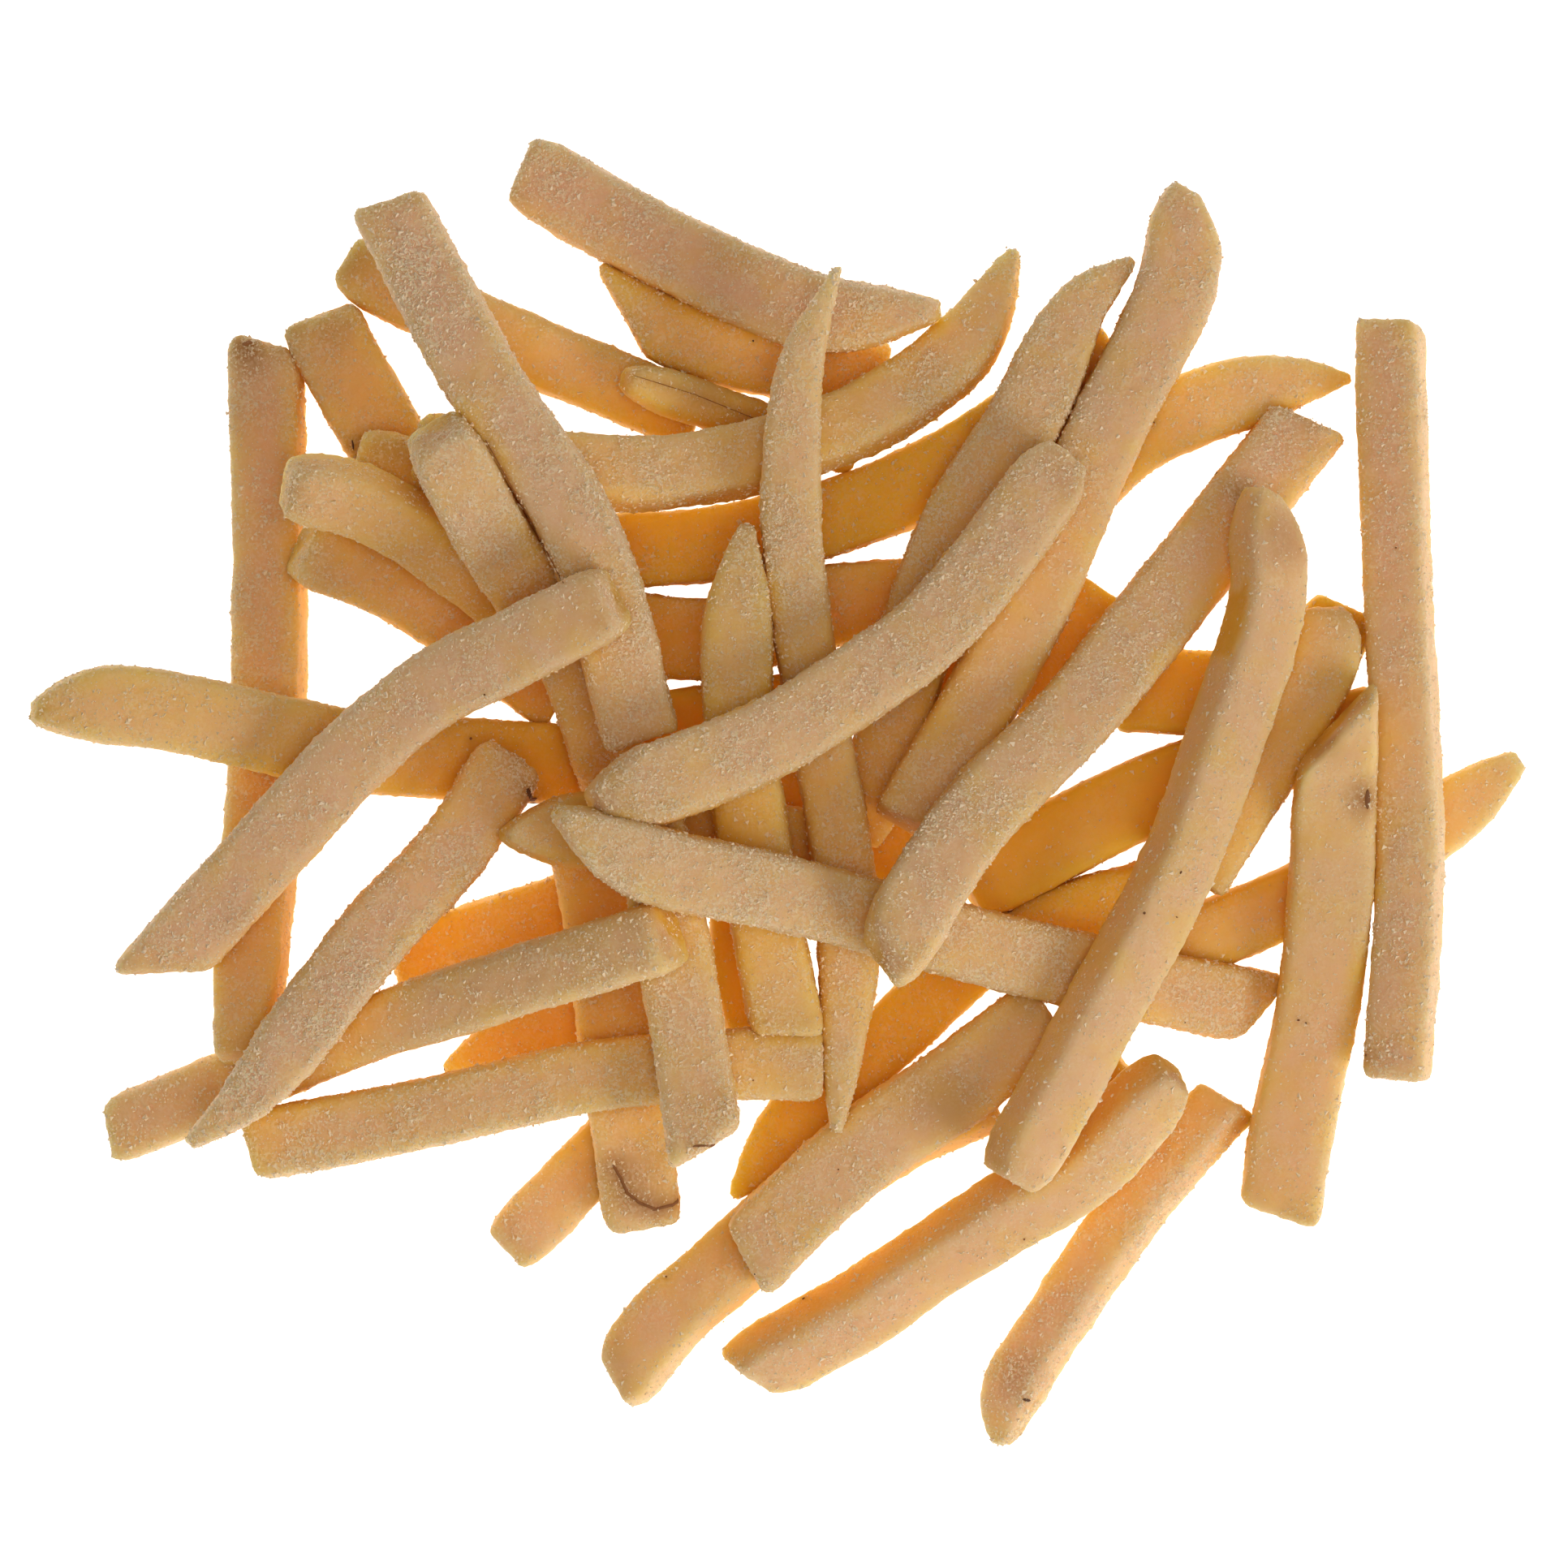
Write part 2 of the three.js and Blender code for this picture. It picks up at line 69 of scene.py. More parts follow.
# name, centre line, width, depth, roll in degrees, start, end, amber, frost
FRIES = [
    ("amber_low_diagonal", [(90.5, 46), (98.5, 55.5), (110, 66), (121, 75.5), (132, 80.5), (143, 83.5)],
     8, 8, 0, (0.2, 14, 0), CUT, 0.7, 0.35),
    ("deep_left", [(74.5, 102.5), (85, 104), (101, 106.5)],
     8.6, 8.1, 0, CUT, CUT, 1, 0.1),
    ("deep_slope", [(121.5, 114), (115, 101), (107, 85)],
     9.4, 8.5, 0, CUT, CUT, 0.6, 0.3),
    ("hidden_slope", [(136, 120.5), (131, 112.5), (126, 105)],
     9, 8.5, 0, CUT, CUT, 0.55, 0.3),
    ("deep_upright", [(97.5, 99.5), (93.2, 87), (92.6, 77), (94.6, 66.5)],
     9.8, 8.5, 0, CUT, CUT, 0.75, 0.25),
    ("hidden_flat", [(137.5, 108), (143, 108), (151.5, 107.5)],
     10.4, 8.5, 0, CUT, CUT, 0.6, 0.2),
    ("amber_long", [(74, 125), (87, 126), (101.5, 129), (115, 134.5), (129, 143.5), (137.5, 150)],
     9.2, 8.7, 0, CUT, CUT, 0.6, 0.35),
    ("amber_sliver", [(55, 61.5), (64, 65), (76, 68.5), (84, 70)],
     8.5, 7.6, 0, (0.15, 14, 0), CUT, 0.2, 0.5),
    ("right_reach", [(144, 76), (156, 81), (169, 87), (178, 92.5), (187, 99.5)],
     8.6, 8.5, 0, CUT, (0.3, 13, 0), 0.25, 0.25),
    ("amber_right", [(119, 83.5), (142, 95.5), (170, 104)],
     9.8, 8.5, 0, (0.7, 4, 0), CUT, 0.4, 0.1),
    ("amber_left", [(48.5, 74.5), (60, 78), (75, 83)],
     9, 8.1, 0, SOFT, CUT, 0.3, 0.5),
    ("under_crown", [(70, 117), (87, 114.5), (102, 118.5), (113, 119.5)],
     9.9, 8.5, 0, CUT, CUT, 0.25, 0.5),
    ("upper_left_long", [(43, 161), (50, 157), (65, 150), (74, 146.5), (86, 141.5)],
     8.3, 8.5, 0, (0.7, 5, 0), CUT, 0.25, 0.4),
    ("hidden_bottom", [(139.5, 61), (133, 55.5), (126, 50)],
     9, 8.5, 0, SOFT, CUT, 0.5, 0.25),
    ("tip_behind", [(165.5, 118.5), (163.5, 114), (161, 109.5)],
     9, 8.5, 0, SOFT, CUT, 0.5, 0.3),
    ("upper_left_stub", [(39.5, 154), (43.5, 146), (56.5, 124)],
     9.9, 8.5, 0, (0.9, 3, 0.1), CUT, 0.25, 0.45),
    ("brown_eyed_stub", [(44.5, 136.5), (50.5, 135), (55, 133.5)],
     7.9, 8.1, 0, SOFT, CUT, 0.35, 0.5),
    ("split_sliver", [(77.3, 146.2), (90, 142), (105, 137.5)],
     5.6, 5.4, 0, (0.5, 6, 0), CUT, 0.3, 0.3),
    ("amber_leaf", [(76.5, 155), (90, 149.5), (109, 146.5)],
     8.6, 7.6, 0, (0.9, 1, -1.2), CUT, 0.3, 0.5),
    ("wavy_right", [(166, 146.5), (159, 146), (151, 144), (140, 139.5), (133, 133)],
     9.2, 8.2, 0, (0.1, 16, 0), CUT, 0.3, 0.4),
    ("bottom_stub", [(62.5, 39.5), (68.5, 45.5), (74.5, 51.5)],
     8, 8.2, 0, (0.8, 5, 0), (1, 0, 1), 0.1, 0.3),
    ("right_slope", [(162.5, 118), (162.5, 112), (157.5, 102.5), (153, 95.5), (146.5, 85)],
     8.9, 8.5, 0, (0.55, 6, 0), CUT, 0.2, 0.35),
    ("bottom_left_round", [(76, 23), (82.5, 31), (88.5, 36.5), (100, 46.5), (112.5, 54.5), (122, 58.5)],
     8.8, 8.8, -12, (0.7, 4, 0.4), CUT, 0.15, 0.25),
    ("leaf_top_right", [(139, 160.5), (132.5, 154.5), (126, 141), (117, 127), (110, 104), (107.5, 89)],
     9, 8.5, 0, (0.1, 18, 0), (0.15, 14, 0), 0.1, 0.65),
    ("curved_bar", [(52, 137.5), (70.5, 135), (85, 135), (103, 140), (118, 149.5), (125, 161.5)],
     8.4, 8.3, -12, SOFT, (0.15, 18, 0), 0.2, 0.6),
    ("cracked_end", [(72.5, 89), (74.5, 79.5), (76.5, 65), (79.5, 42.5)],
     9.7, 8.5, 0, CUT, (0.85, 3, 0), 0.15, 0.6),
    ("pink_end", [(62.5, 90.4), (73, 90.9), (88, 90.4), (102, 88.6)],
     9.4, 8.1, 0, (0.15, 10, 0), CUT, 0.1, 0.4),
    ("bottom_right_tip", [(151.2, 57.9), (140.5, 45.5), (131.5, 32.5), (125, 22.5), (123.5, 15.5)],
     7.2, 7, 24, (0.97, 1, -0.16), (0.2, 9, 0), 0.05, 0.5),
    ("bottom_broad", [(92, 24), (105, 31.5), (113.5, 37.5), (124.5, 44.5), (134, 50.5), (144, 61.5)],
     8.3, 8, 32, (0.7, 4, -0.5), (0.6, 6, 0), 0.08, 0.3),
    ("lower_mid_broad", [(92, 38.5), (99.5, 46), (108.5, 53.5), (118, 60), (129, 68.5)],
     10.2, 8.9, 0, (0.9, 3, 0.27), CUT, 0.1, 0.4),
    ("lower_left_flat", [(31.5, 52.5), (53, 56.5), (73.5, 61), (90.5, 62.5), (101, 62.5)],
     8.7, 8.4, 0, (0.9, 3, -0.1), (0.95, 2, 0), 0.2, 0.6),
    ("middle_upright", [(92, 128), (91, 115), (91.5, 100), (94.5, 79.5), (97, 66.5)],
     8.8, 8.5, 0, (0.2, 16, 0), (0.95, 2, 0.2), 0.25, 0.5),
    ("tall_top_right", [(146, 169.5), (144.5, 157), (136.5, 141), (125.5, 116), (112, 91.5)],
     9.5, 8.7, 0, (0.35, 8, 0.5), CUT, 0.05, 0.45),
    ("top_bar", [(64.5, 172), (73.5, 167), (82.5, 162), (92, 157.5), (102, 154), (115, 154.5)],
     9.8, 8.9, 0, (0.85, 4, -0.1), (0.2, 16, 0), 0, 0.65),
    ("middle_stub", [(79.5, 94.5), (81.5, 85.5), (84.5, 69.5), (87, 52.5)],
     9.1, 8.5, 0, CUT, (0.95, 2, -0.43), 0.1, 0.65),
    ("lower_left_long", [(14.5, 54), (27, 59), (45.5, 66.5), (61, 71.5), (82.5, 78.5)],
     8.2, 8.1, 0, (0.85, 3, 0.2), CUT, 0.15, 0.45),
    ("left_upright", [(33, 150.5), (33.5, 108), (31.5, 75.5), (30, 63)],
     8.8, 8.5, 9, (0.75, 3, 0.3), (0.55, 14, 0), 0.1, 0.5),
    ("left_reach", [(5.5, 105.5), (18, 106), (45.5, 100.5), (73, 99)],
     9.8, 8.5, 0, (0.25, 11, 0.1), CUT, 0.3, 0.35),
    ("left_under", [(37.5, 125.5), (47.5, 121.5), (56, 116.5), (69, 107)],
     8.7, 8.5, 0, SOFT, CUT, 0.15, 0.5),
    ("rolled_left", [(36, 132.5), (43, 131.5), (50.5, 128), (62.5, 119.5)],
     8.1, 7.8, 20, (0.75, 4, 0), CUT, 0.2, 0.5),
    ("upper_left_inner", [(54.5, 139), (62, 125.5), (71, 112), (76.5, 96.5)],
     9.1, 8.5, 0, (0.75, 4, 0), CUT, 0.05, 0.65),
    ("thin_upright", [(103, 159), (98.5, 146.5), (97.5, 128), (100, 108), (103, 92), (104.5, 77), (103, 54.5)],
     7.4, 7.6, 0, (0.1, 28, 0), (0.12, 24, 0), 0.1, 0.65),
    ("long_crossbar", [(69.5, 93), (80.5, 87), (100, 82.5), (129.5, 74.5), (154.3, 69.2)],
     9.1, 8.5, 0, (0.15, 13, 0), (0.92, 2, 0.54), 0.1, 0.75),
    ("right_inner_upright", [(164.1, 103.6), (163.6, 93), (163.5, 83.5), (162, 69), (159, 54.5), (157.5, 44)],
     10.3, 8.5, 0, (0.86, 12, -1.2), (0.92, 2, 0.2), 0.15, 0.25),
    ("right_outer_upright", [(171, 153), (171.5, 133), (172.5, 103), (173, 83.5), (171.5, 60.5)],
     8.1, 8.5, 12, (0.95, 2, 0.1), (0.95, 2, 0), 0.05, 0.4),
    ("long_slope", [(160.5, 140.5), (141, 116), (130.5, 103.5), (118.5, 91), (109, 76)],
     9.8, 8.9, 0, (1, 0, -0.24), (0.7, 5, 0.4), 0.05, 0.55),
    ("right_bridge", [(155, 132.5), (155.5, 119), (150.5, 103), (144.5, 86.5), (135.5, 69.5), (124, 48.5)],
     8.1, 7.9, -26, (0.35, 8, 0.35), (0.7, 5, 0), 0.05, 0.25),
    ("upper_left_bridge", [(48.5, 167), (60.5, 145), (72, 127), (79.5, 102)],
     9.4, 8.7, 0, (0.9, 3, 0.2), CUT, 0, 0.7),
    ("crown", [(131, 136.5), (117, 118), (105, 108.5), (93.5, 101.5), (74, 94)],
     9.7, 8.9, 0, (0.6, 6, 0), (0.4, 8, 0), 0.05, 0.6),
    ("left_bridge", [(76, 119), (64, 113), (50, 105), (31.5, 86), (21, 74)],
     9.4, 8.5, 0, SOFT, (0.9, 2, -0.9), 0, 0.5),
    ("left_slope", [(63.5, 99.5), (56.5, 89), (46, 77.5), (33, 60.5), (24.5, 53)],
     8.9, 8.5, 0, (0.85, 3, 0), (0.15, 22, 0), 0, 0.8),
]
print(len(FRIES), "fries")

# %% [markdown]
# ## A smooth centre line
# The few points of a centre line are joined by a Catmull-Rom curve, which passes through every one of
# them. A curve's own parameter runs faster where its points are far apart, so lengths along it are
# tabulated once and looked up, which spaces the sections evenly.

# %% Centre lines
TABLE_STEPS = 200  # points at which the length along a curve is tabulated
NUDGE = 0.0001  # how far apart the two points are that give a curve's direction


def on_curve(points, t):
    """Points of the Catmull-Rom curve through `points`, at the parameters `t` from 0 to 1."""
    knots = np.vstack([2 * points[0] - points[1], points, 2 * points[-1] - points[-2]])
    span = np.clip(t, 0, 1) * (len(points) - 1)
    k = np.minimum(span.astype(int), len(points) - 2)
    x = (span - k)[:, None]
    before, a, b, after = knots[k], knots[k + 1], knots[k + 2], knots[k + 3]
    leave, arrive = (b - before) / 2, (after - a) / 2
    return (a + leave * x + (3 * (b - a) - 2 * leave - arrive) * x**2
            + (2 * (a - b) + leave + arrive) * x**3)


class Fry:
    """One fry: its named sizes, its curve, and its sections at any distance along it."""

    def __init__(self, name, line, wide, deep, roll, start, end, amber, frost):
        self.name, self.wide, self.deep, self.roll = name, wide, deep, math.radians(roll)
        self.start, self.end, self.amber, self.frost = start, end, amber, frost
        self.points = np.array(line, float) - HEAP_CENTRE
        table = on_curve(self.points, np.linspace(0, 1, TABLE_STEPS + 1))
        steps = np.linalg.norm(np.diff(table, axis=0), axis=1)
        self.lengths = np.concatenate([[0], np.cumsum(steps)])
        self.length = float(self.lengths[-1])

    def centre(self, along):
        """Points and directions of the centre line at distances along it."""
        t = np.interp(along, self.lengths, np.linspace(0, 1, TABLE_STEPS + 1))
        ahead, behind = np.minimum(t + NUDGE, 1), np.maximum(t - NUDGE, 0)
        direction = on_curve(self.points, ahead) - on_curve(self.points, behind)
        return on_curve(self.points, t), direction / np.linalg.norm(direction, axis=1)[:, None]

    def size(self, along):
        """Share of its full width that the fry has left at distances along it."""
        left = np.ones_like(along)
        for (share, reach, _), distance in ((self.start, along), (self.end, self.length - along)):
            if reach:
                x = np.clip(distance / reach, 0, 1)
                left = left * (share + (1 - share) * (1 - (1 - x) ** 2))
        return left


fries = [Fry(*row) for row in FRIES]
print("total length:", round(sum(fry.length for fry in fries)), "mm")

# %% [markdown]
# ## Letting the heap settle
# A physics simulation could drop the fries, but it wouldn't leave them where they were laid. Instead
# each keeps its place as seen from above, and only its height, its tilt and its bow are worked out.
# Where two fries cross, the upper one may come no nearer than the two half depths, less the little that
# they give. In every round all fries sink a bit, and then each crossing that has come too close is
# pushed apart again, until the drop has died away.

# %% Where fries cross
CORNER = 1.6  # rounding along the long edges
PRESS = 0.6  # how far two fries give into each other where they touch
FLOOR_PRESS = 0.5  # how much the lowest are flattened by the surface
SIDE_PLAY = 1.3  # fries that overlap by less than this lie side by side
STATION_STEP = 2
STEP_REACH = 0.55  # share of a step within which a place counts as next to a station
ACROSS = np.array((-1, -0.5, 0, 0.5, 1))


def across_rolled(first, second, roll):
    """Width, or depth, that a rounded square section takes up once it is rolled."""
    turn = abs(roll)
    return (first - 2 * CORNER) * math.cos(turn) + (second - 2 * CORNER) * math.sin(turn) + 2 * CORNER


def edge_drop(from_middle, half_wide):
    """How far the rounded edge lies below the flat of a face."""
    x = np.clip(np.abs(from_middle) - (half_wide - CORNER), 0, CORNER)
    return CORNER - np.sqrt(CORNER**2 - x**2)


def weights(place):
    """What middle height, rise and bow each add to the height at a place from -0.5 to 0.5."""
    return np.stack([np.ones_like(place), place, 1 / 12 - place**2], axis=-1)


def set_stations(fry):
    steps = math.ceil(fry.length / STATION_STEP)
    along = fry.length * np.arange(steps + 1) / steps
    fry.step = fry.length / steps
    fry.at, fry.direction = fry.centre(along)
    fry.side = np.stack([-fry.direction[:, 1], fry.direction[:, 0]], axis=1)
    size = fry.size(along)
    fry.place = along / fry.length - 0.5
    fry.half_wide = across_rolled(fry.wide, fry.deep, fry.roll) / 2 * size
    fry.half_deep = across_rolled(fry.deep, fry.wide, fry.roll) / 2 * (1 + size) / 2


def contacts_between(upper, lower):
    """Rows of (least distance of the centre lines, weights on the upper fry, on the lower)."""
    reach = upper.wide + lower.wide
    if (upper.at.min(0) - reach > lower.at.max(0)).any() or (lower.at.min(0) - reach > upper.at.max(0)).any():
        return []
    offset = ACROSS[None, :] * (upper.half_wide - SIDE_PLAY)[:, None]
    point = upper.at[:, None, :] + upper.side[:, None, :] * offset[..., None]
    apart2 = ((point[:, :, None, :] - lower.at[None, None]) ** 2).sum(-1)
    near = apart2.argmin(-1)
    away = point - lower.at[near]
    aside = np.abs((away * lower.side[near]).sum(-1))
    along = np.abs((away * lower.direction[near]).sum(-1))
    touching = (near > 0) & (near < len(lower.at) - 1) & (along <= lower.step * STEP_REACH)
    touching &= aside <= lower.half_wide[near] - SIDE_PLAY
    under = upper.half_deep[:, None] - edge_drop(offset, upper.half_wide[:, None])
    over = lower.half_deep[near] - edge_drop(aside, lower.half_wide[near])
    apart = np.where(touching, under + over - PRESS, -np.inf)
    on_upper, on_lower = weights(upper.place), weights(lower.place)
    return [(apart[row, k], on_upper[row].tolist(), on_lower[near[row, k]].tolist())
            for row, k in enumerate(apart.argmax(1)) if np.isfinite(apart[row, k])]


for fry in fries:
    set_stations(fry)
crossings = [(above, below, row) for k, above in enumerate(fries) for below in fries[:k]
             for row in contacts_between(above, below)]
print(len(crossings), "places where one fry lies over another")

# %% Sink and push apart
WEIGHT_UNIT = 4000  # volume of a middling fry, in cubic millimetres
YIELDING = (1, 12, 54)  # how readily a fry is lifted, tipped and bent
BOW_SHARE = 0.03  # most that a long fry sags or arches, as a share of its length
BOW_LENGTH = 90
BOW_FACTOR = 4  # turns a sag in the middle into the third of a fry's rest values
ROUNDS, PUSHES = 400, 3
FIRST_DROP, LAST_DROP = 0.4, 0.002


def height(fry, on):
    return fry.rest[0] * on[0] + fry.rest[1] * on[1] + fry.rest[2] * on[2]


def yields(fry, on):
    return fry.give[0] * on[0] ** 2 + fry.give[1] * on[1] ** 2 + fry.give[2] * on[2] ** 2


def push(fry, on, amount):
    rest, give = fry.rest, fry.give
    rest[0] += amount * give[0] * on[0]
    rest[1] += amount * give[1] * on[1]
    rest[2] = min(max(rest[2] + amount * give[2] * on[2], -fry.most_bow), fry.most_bow)


def settle(fries, crossings):
    for fry in fries:
        weight = fry.length * fry.wide * fry.deep / WEIGHT_UNIT
        fry.give = [readiness / weight for readiness in YIELDING]
        fry.most_bow = BOW_FACTOR * BOW_SHARE * fry.length**2 / BOW_LENGTH
        last = len(fry.place) - 1
        feet = [0, math.floor(last / 2 + 0.5), last]
        fry.feet = [(weights(fry.place[k]).tolist(), float(fry.half_deep[k]) - FLOOR_PRESS) for k in feet]
        fry.rest = [fry.feet[1][1], 0.0, 0.0]
    known = [(above, below, float(apart), on, under, yields(above, on) + yields(below, under))
             for above, below, (apart, on, under) in crossings]
    for turn in range(ROUNDS):
        drop = FIRST_DROP * (1 - turn / ROUNDS) ** 2 + LAST_DROP
        for fry in fries:
            fry.rest[0] -= drop
        for _ in range(PUSHES):
            for above, below, apart, on, under, readiness in known:
                short = apart - (height(above, on) - height(below, under))
                if short > 0:
                    push(above, on, short / readiness)
                    push(below, under, -short / readiness)
            for fry in fries:
                for on, lift in fry.feet:
                    short = lift - height(fry, on)
                    if short > 0:
                        push(fry, on, short / yields(fry, on))


settle(fries, crossings)
print("topmost fry's middle:", round(max(fry.rest[0] for fry in fries), 1), "mm up")

# %% [markdown]
# ## One fry as a block
# A bar could be drawn as a curve with a thick bevel, but its cut ends would need extra work. Here it
# starts as a cube stretched to the fry's real length, width and depth. One bevel rounds its edges, and
# then the faces are split along, across and upwards into a fine even grid. The grid matters: the rough
# skin is real relief, and it can be no finer than the faces that carry it.

# %% Rounded, finely divided blocks
GRID = 0.55  # spacing of the grid on a fry
ROUNDING = 0.8  # radius of the cut edges
BEVEL_STEPS = 2


def edges_along(bm, axis, least):
    """Edges that run along an axis and are longer than `least`."""
    found = []
    for edge in bm.edges:
        run = edge.verts[1].co - edge.verts[0].co
        if abs(run[axis]) > least and abs(run[axis]) > 0.99 * run.length:
            found.append(edge)
    return found


def fry_block(fry):
    """A rounded bar from x = 0 to the fry's length, centred on y and z."""
    bm = bmesh.new()
    bmesh.ops.create_cube(bm, size=1)
    bmesh.ops.scale(bm, vec=(fry.length, fry.wide, fry.deep), verts=bm.verts)
    bmesh.ops.translate(bm, vec=(fry.length / 2, 0, 0), verts=bm.verts)
    bmesh.ops.bevel(bm, geom=bm.edges[:], offset=ROUNDING, offset_type="OFFSET", segments=BEVEL_STEPS,
                    profile=0.5, affect="EDGES", material=-1, clamp_overlap=True)
    for axis, full in enumerate((fry.length, fry.wide, fry.deep)):
        flat = full - 2 * ROUNDING
        cuts = max(1, round(flat / GRID) - 1)
        bmesh.ops.subdivide_edges(bm, edges=edges_along(bm, axis, flat * 0.9), cuts=cuts, use_grid_fill=True)
    return bm


sample = fry_block(fries[-1])
print(fries[-1].name, "has", len(sample.faces), "faces")
sample.free()

# %% [markdown]
# ## Laying the blocks
# The blocks are warped in one step: a point's distance along the block picks the place on the centre
# line, and the rest of it is its offset to the side and upwards. The section shrinks towards pointed
# ends, is rolled, and leans with the fry's slope. Numpy moves all points of a fry at once.

# %% Warp a block to where its fry lies
SLANT_REACH = 12  # length over which a slanted cut fades out
CROWN = 0.35  # how much lower a face is at its edges than along its middle


def lay(fry, block):
    """The points of a fry's block, laid where the fry rests."""
    along = np.clip(block[:, 0], 0, fry.length)
    size = fry.size(along)
    to_side, to_top = block[:, 1] / (fry.wide / 2), block[:, 2] / (fry.deep / 2)
    wide = (block[:, 1] - CROWN * to_side * to_top**2) * size
    deep = (block[:, 2] - CROWN * to_top * to_side**2) * (1 + size) / 2
    aside = wide * math.cos(fry.roll) - deep * math.sin(fry.roll)
    upward = wide * math.sin(fry.roll) + deep * math.cos(fry.roll)
    point, direction = fry.centre(along)
    side = np.stack([-direction[:, 1], direction[:, 0], np.zeros(len(along))], axis=1)
    forward = np.column_stack([direction, np.zeros(len(along))])
    place = along / fry.length - 0.5
    rise = (fry.rest[1] - 2 * fry.rest[2] * place) / fry.length
    up = np.column_stack([-rise * direction[:, 0], -rise * direction[:, 1], np.ones(len(along))])
    up /= np.linalg.norm(up, axis=1)[:, None]
    slant = fry.start[2] * np.maximum(0, 1 - along / SLANT_REACH)
    slant = slant + fry.end[2] * np.maximum(0, 1 - (fry.length - along) / SLANT_REACH)
    centre = np.column_stack([point, weights(place) @ np.array(fry.rest)])
    return centre + side * aside[:, None] + up * upward[:, None] + forward * (slant * aside)[:, None]


# %% [markdown]
# ## How closed in every place is
# Deep in a heap, light has passed through other fries before it arrives, so the flesh looks a deeper
# amber there than on top. The material paints this shade into the flesh colour, from how closed in each
# place is. That can be measured: from points all round each fry, rays are sent out, and the share that
# hits another fry says how closed in the place is. The plain solid is what they are tested against, in a
# BVH tree, which finds hits quickly.

# %% Send out rays
RAY_COUNT = 40
RAY_REACH = 0.03  # a fry further away than this takes no light, metres
RAY_START = 0.5  # rays start this far off the surface, mm
AROUND = 16  # places round a section
ALONG_STEP = 1.5


def ray_fan(count):
    """Directions round +Z, closer together near it, as light on a matt surface counts."""
    k = np.arange(count) + 0.5
    out, turn = np.sqrt(k / count), k * math.pi * (3 - math.sqrt(5))
    return np.column_stack([out * np.cos(turn), out * np.sin(turn), np.sqrt(1 - out**2)])


def round_section(turn):
    """Points on a square of half side 1 at angles round it, and which way its skin faces there."""
    ring = np.column_stack([np.cos(turn), np.sin(turn)])
    facing = np.sign(ring) * np.abs(ring) ** 3
    return ring / np.abs(ring).max(1)[:, None], facing / np.linalg.norm(facing, axis=1)[:, None]


def closed_in(fry, tree, fan):
    """Share of blocked rays on a grid of places along the fry and round it."""
    steps = max(4, round(fry.length / ALONG_STEP))
    along = np.linspace(0.3, fry.length - 0.3, steps)
    ring, facing = round_section(np.arange(AROUND) * 2 * math.pi / AROUND)
    half = np.array((fry.wide, fry.deep)) / 2
    block = np.array([(x, *(at * half)) for x in along for at in ring])
    outward = np.array([(0, *way) for x in along for way in facing])
    points = lay(fry, block)
    normals = lay(fry, block + outward) - points
    normals /= np.linalg.norm(normals, axis=1)[:, None]
    side = np.cross(normals, (0.31, 0.53, 0.79))
    side /= np.linalg.norm(side, axis=1)[:, None]
    other = np.cross(normals, side)
    rays = (fan[None, :, :1] * side[:, None] + fan[None, :, 1:2] * other[:, None]
            + fan[None, :, 2:] * normals[:, None])
    blocked = np.empty(len(points))
    for k, start in enumerate((points + normals * RAY_START) * MM):
        origin = Vector(start)
        blocked[k] = sum(tree.ray_cast(origin, ray, RAY_REACH)[0] is not None for ray in rays[k].tolist())
    return blocked.reshape(steps, AROUND) / len(fan)


solid = bmesh.new()
solid.from_mesh(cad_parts["fries_heap"].data)
tree = BVHTree.FromBMesh(solid)
fan = ray_fan(RAY_COUNT)
for fry in fries:
    fry.closed = closed_in(fry, tree, fan)
solid.free()
print("closed in, mean share:", round(float(np.mean([fry.closed.mean() for fry in fries])), 2))


# %% Read it anywhere on a block
def closed_at(fry, block):
    """How closed in the points of a fry's block are, between the places that were measured."""
    steps = len(fry.closed)
    row = np.clip((block[:, 0] - 0.3) / (fry.length - 0.6), 0, 1) * (steps - 1)
    turn = np.arctan2(block[:, 2] / fry.deep, block[:, 1] / fry.wide) / (2 * math.pi) % 1 * AROUND
    r, c = np.minimum(row.astype(int), steps - 2), turn.astype(int) % AROUND
    x, y, following = row - r, turn - np.floor(turn), (c + 1) % AROUND
    near = fry.closed[r, c] * (1 - y) + fry.closed[r, following] * y
    far = fry.closed[r + 1, c] * (1 - y) + fry.closed[r + 1, following] * y
    return near * (1 - x) + far * x


# %% [markdown]
# ## Rough, uneven skin
# A cut potato bar is never quite straight: the blade wanders, the flesh shrinks unevenly in the fryer,
# and ice crystals sit on it like coarse sugar. Three layers of noise are added along the normals: a
# slow swell, shallow dents, and crumbs, which are the rounded hills of a cell pattern and stand only
# where frost lies.

# %% Relief along the normals
SWELL, SWELL_SIZE = 0.35, 14.0
DENT, DENT_SIZE = 0.16, 4.0
GRAIN, GRAIN_SIZE = 0.24, 1.0
CRUMB, CRUMB_SIZE = 0.5, 1.4
BARE_CRUMB = 0.25  # share of the crumbs that skin without frost has
PATCH_SIZE = 7.0  # frost lies in patches about this wide


def shaped(values, low, high):
    return np.clip((values - low) / (high - low), 0, 1)


def noise_at(points, size, shift=0.0):
    offset = Vector((shift, shift * 0.7, -shift))
    return np.array([noise.noise(Vector(p) / size + offset) for p in points])


def crumbs_at(points, size):
    return np.array([noise.voronoi(Vector(p) / size)[0][0] for p in points])


def frost_on(fry, points, normals):
    """How much frost lies on each point, 0 to 1: in patches, and less on the underside."""
    patch = noise_at(points, PATCH_SIZE, 31.0) * 0.5 + noise_at(points, PATCH_SIZE / 3, 17.0) * 0.35
    turned_up = shaped(normals[:, 2], -0.9, 0.4)
    return np.clip(fry.frost * (0.75 + 1.3 * patch), 0, 1) * turned_up


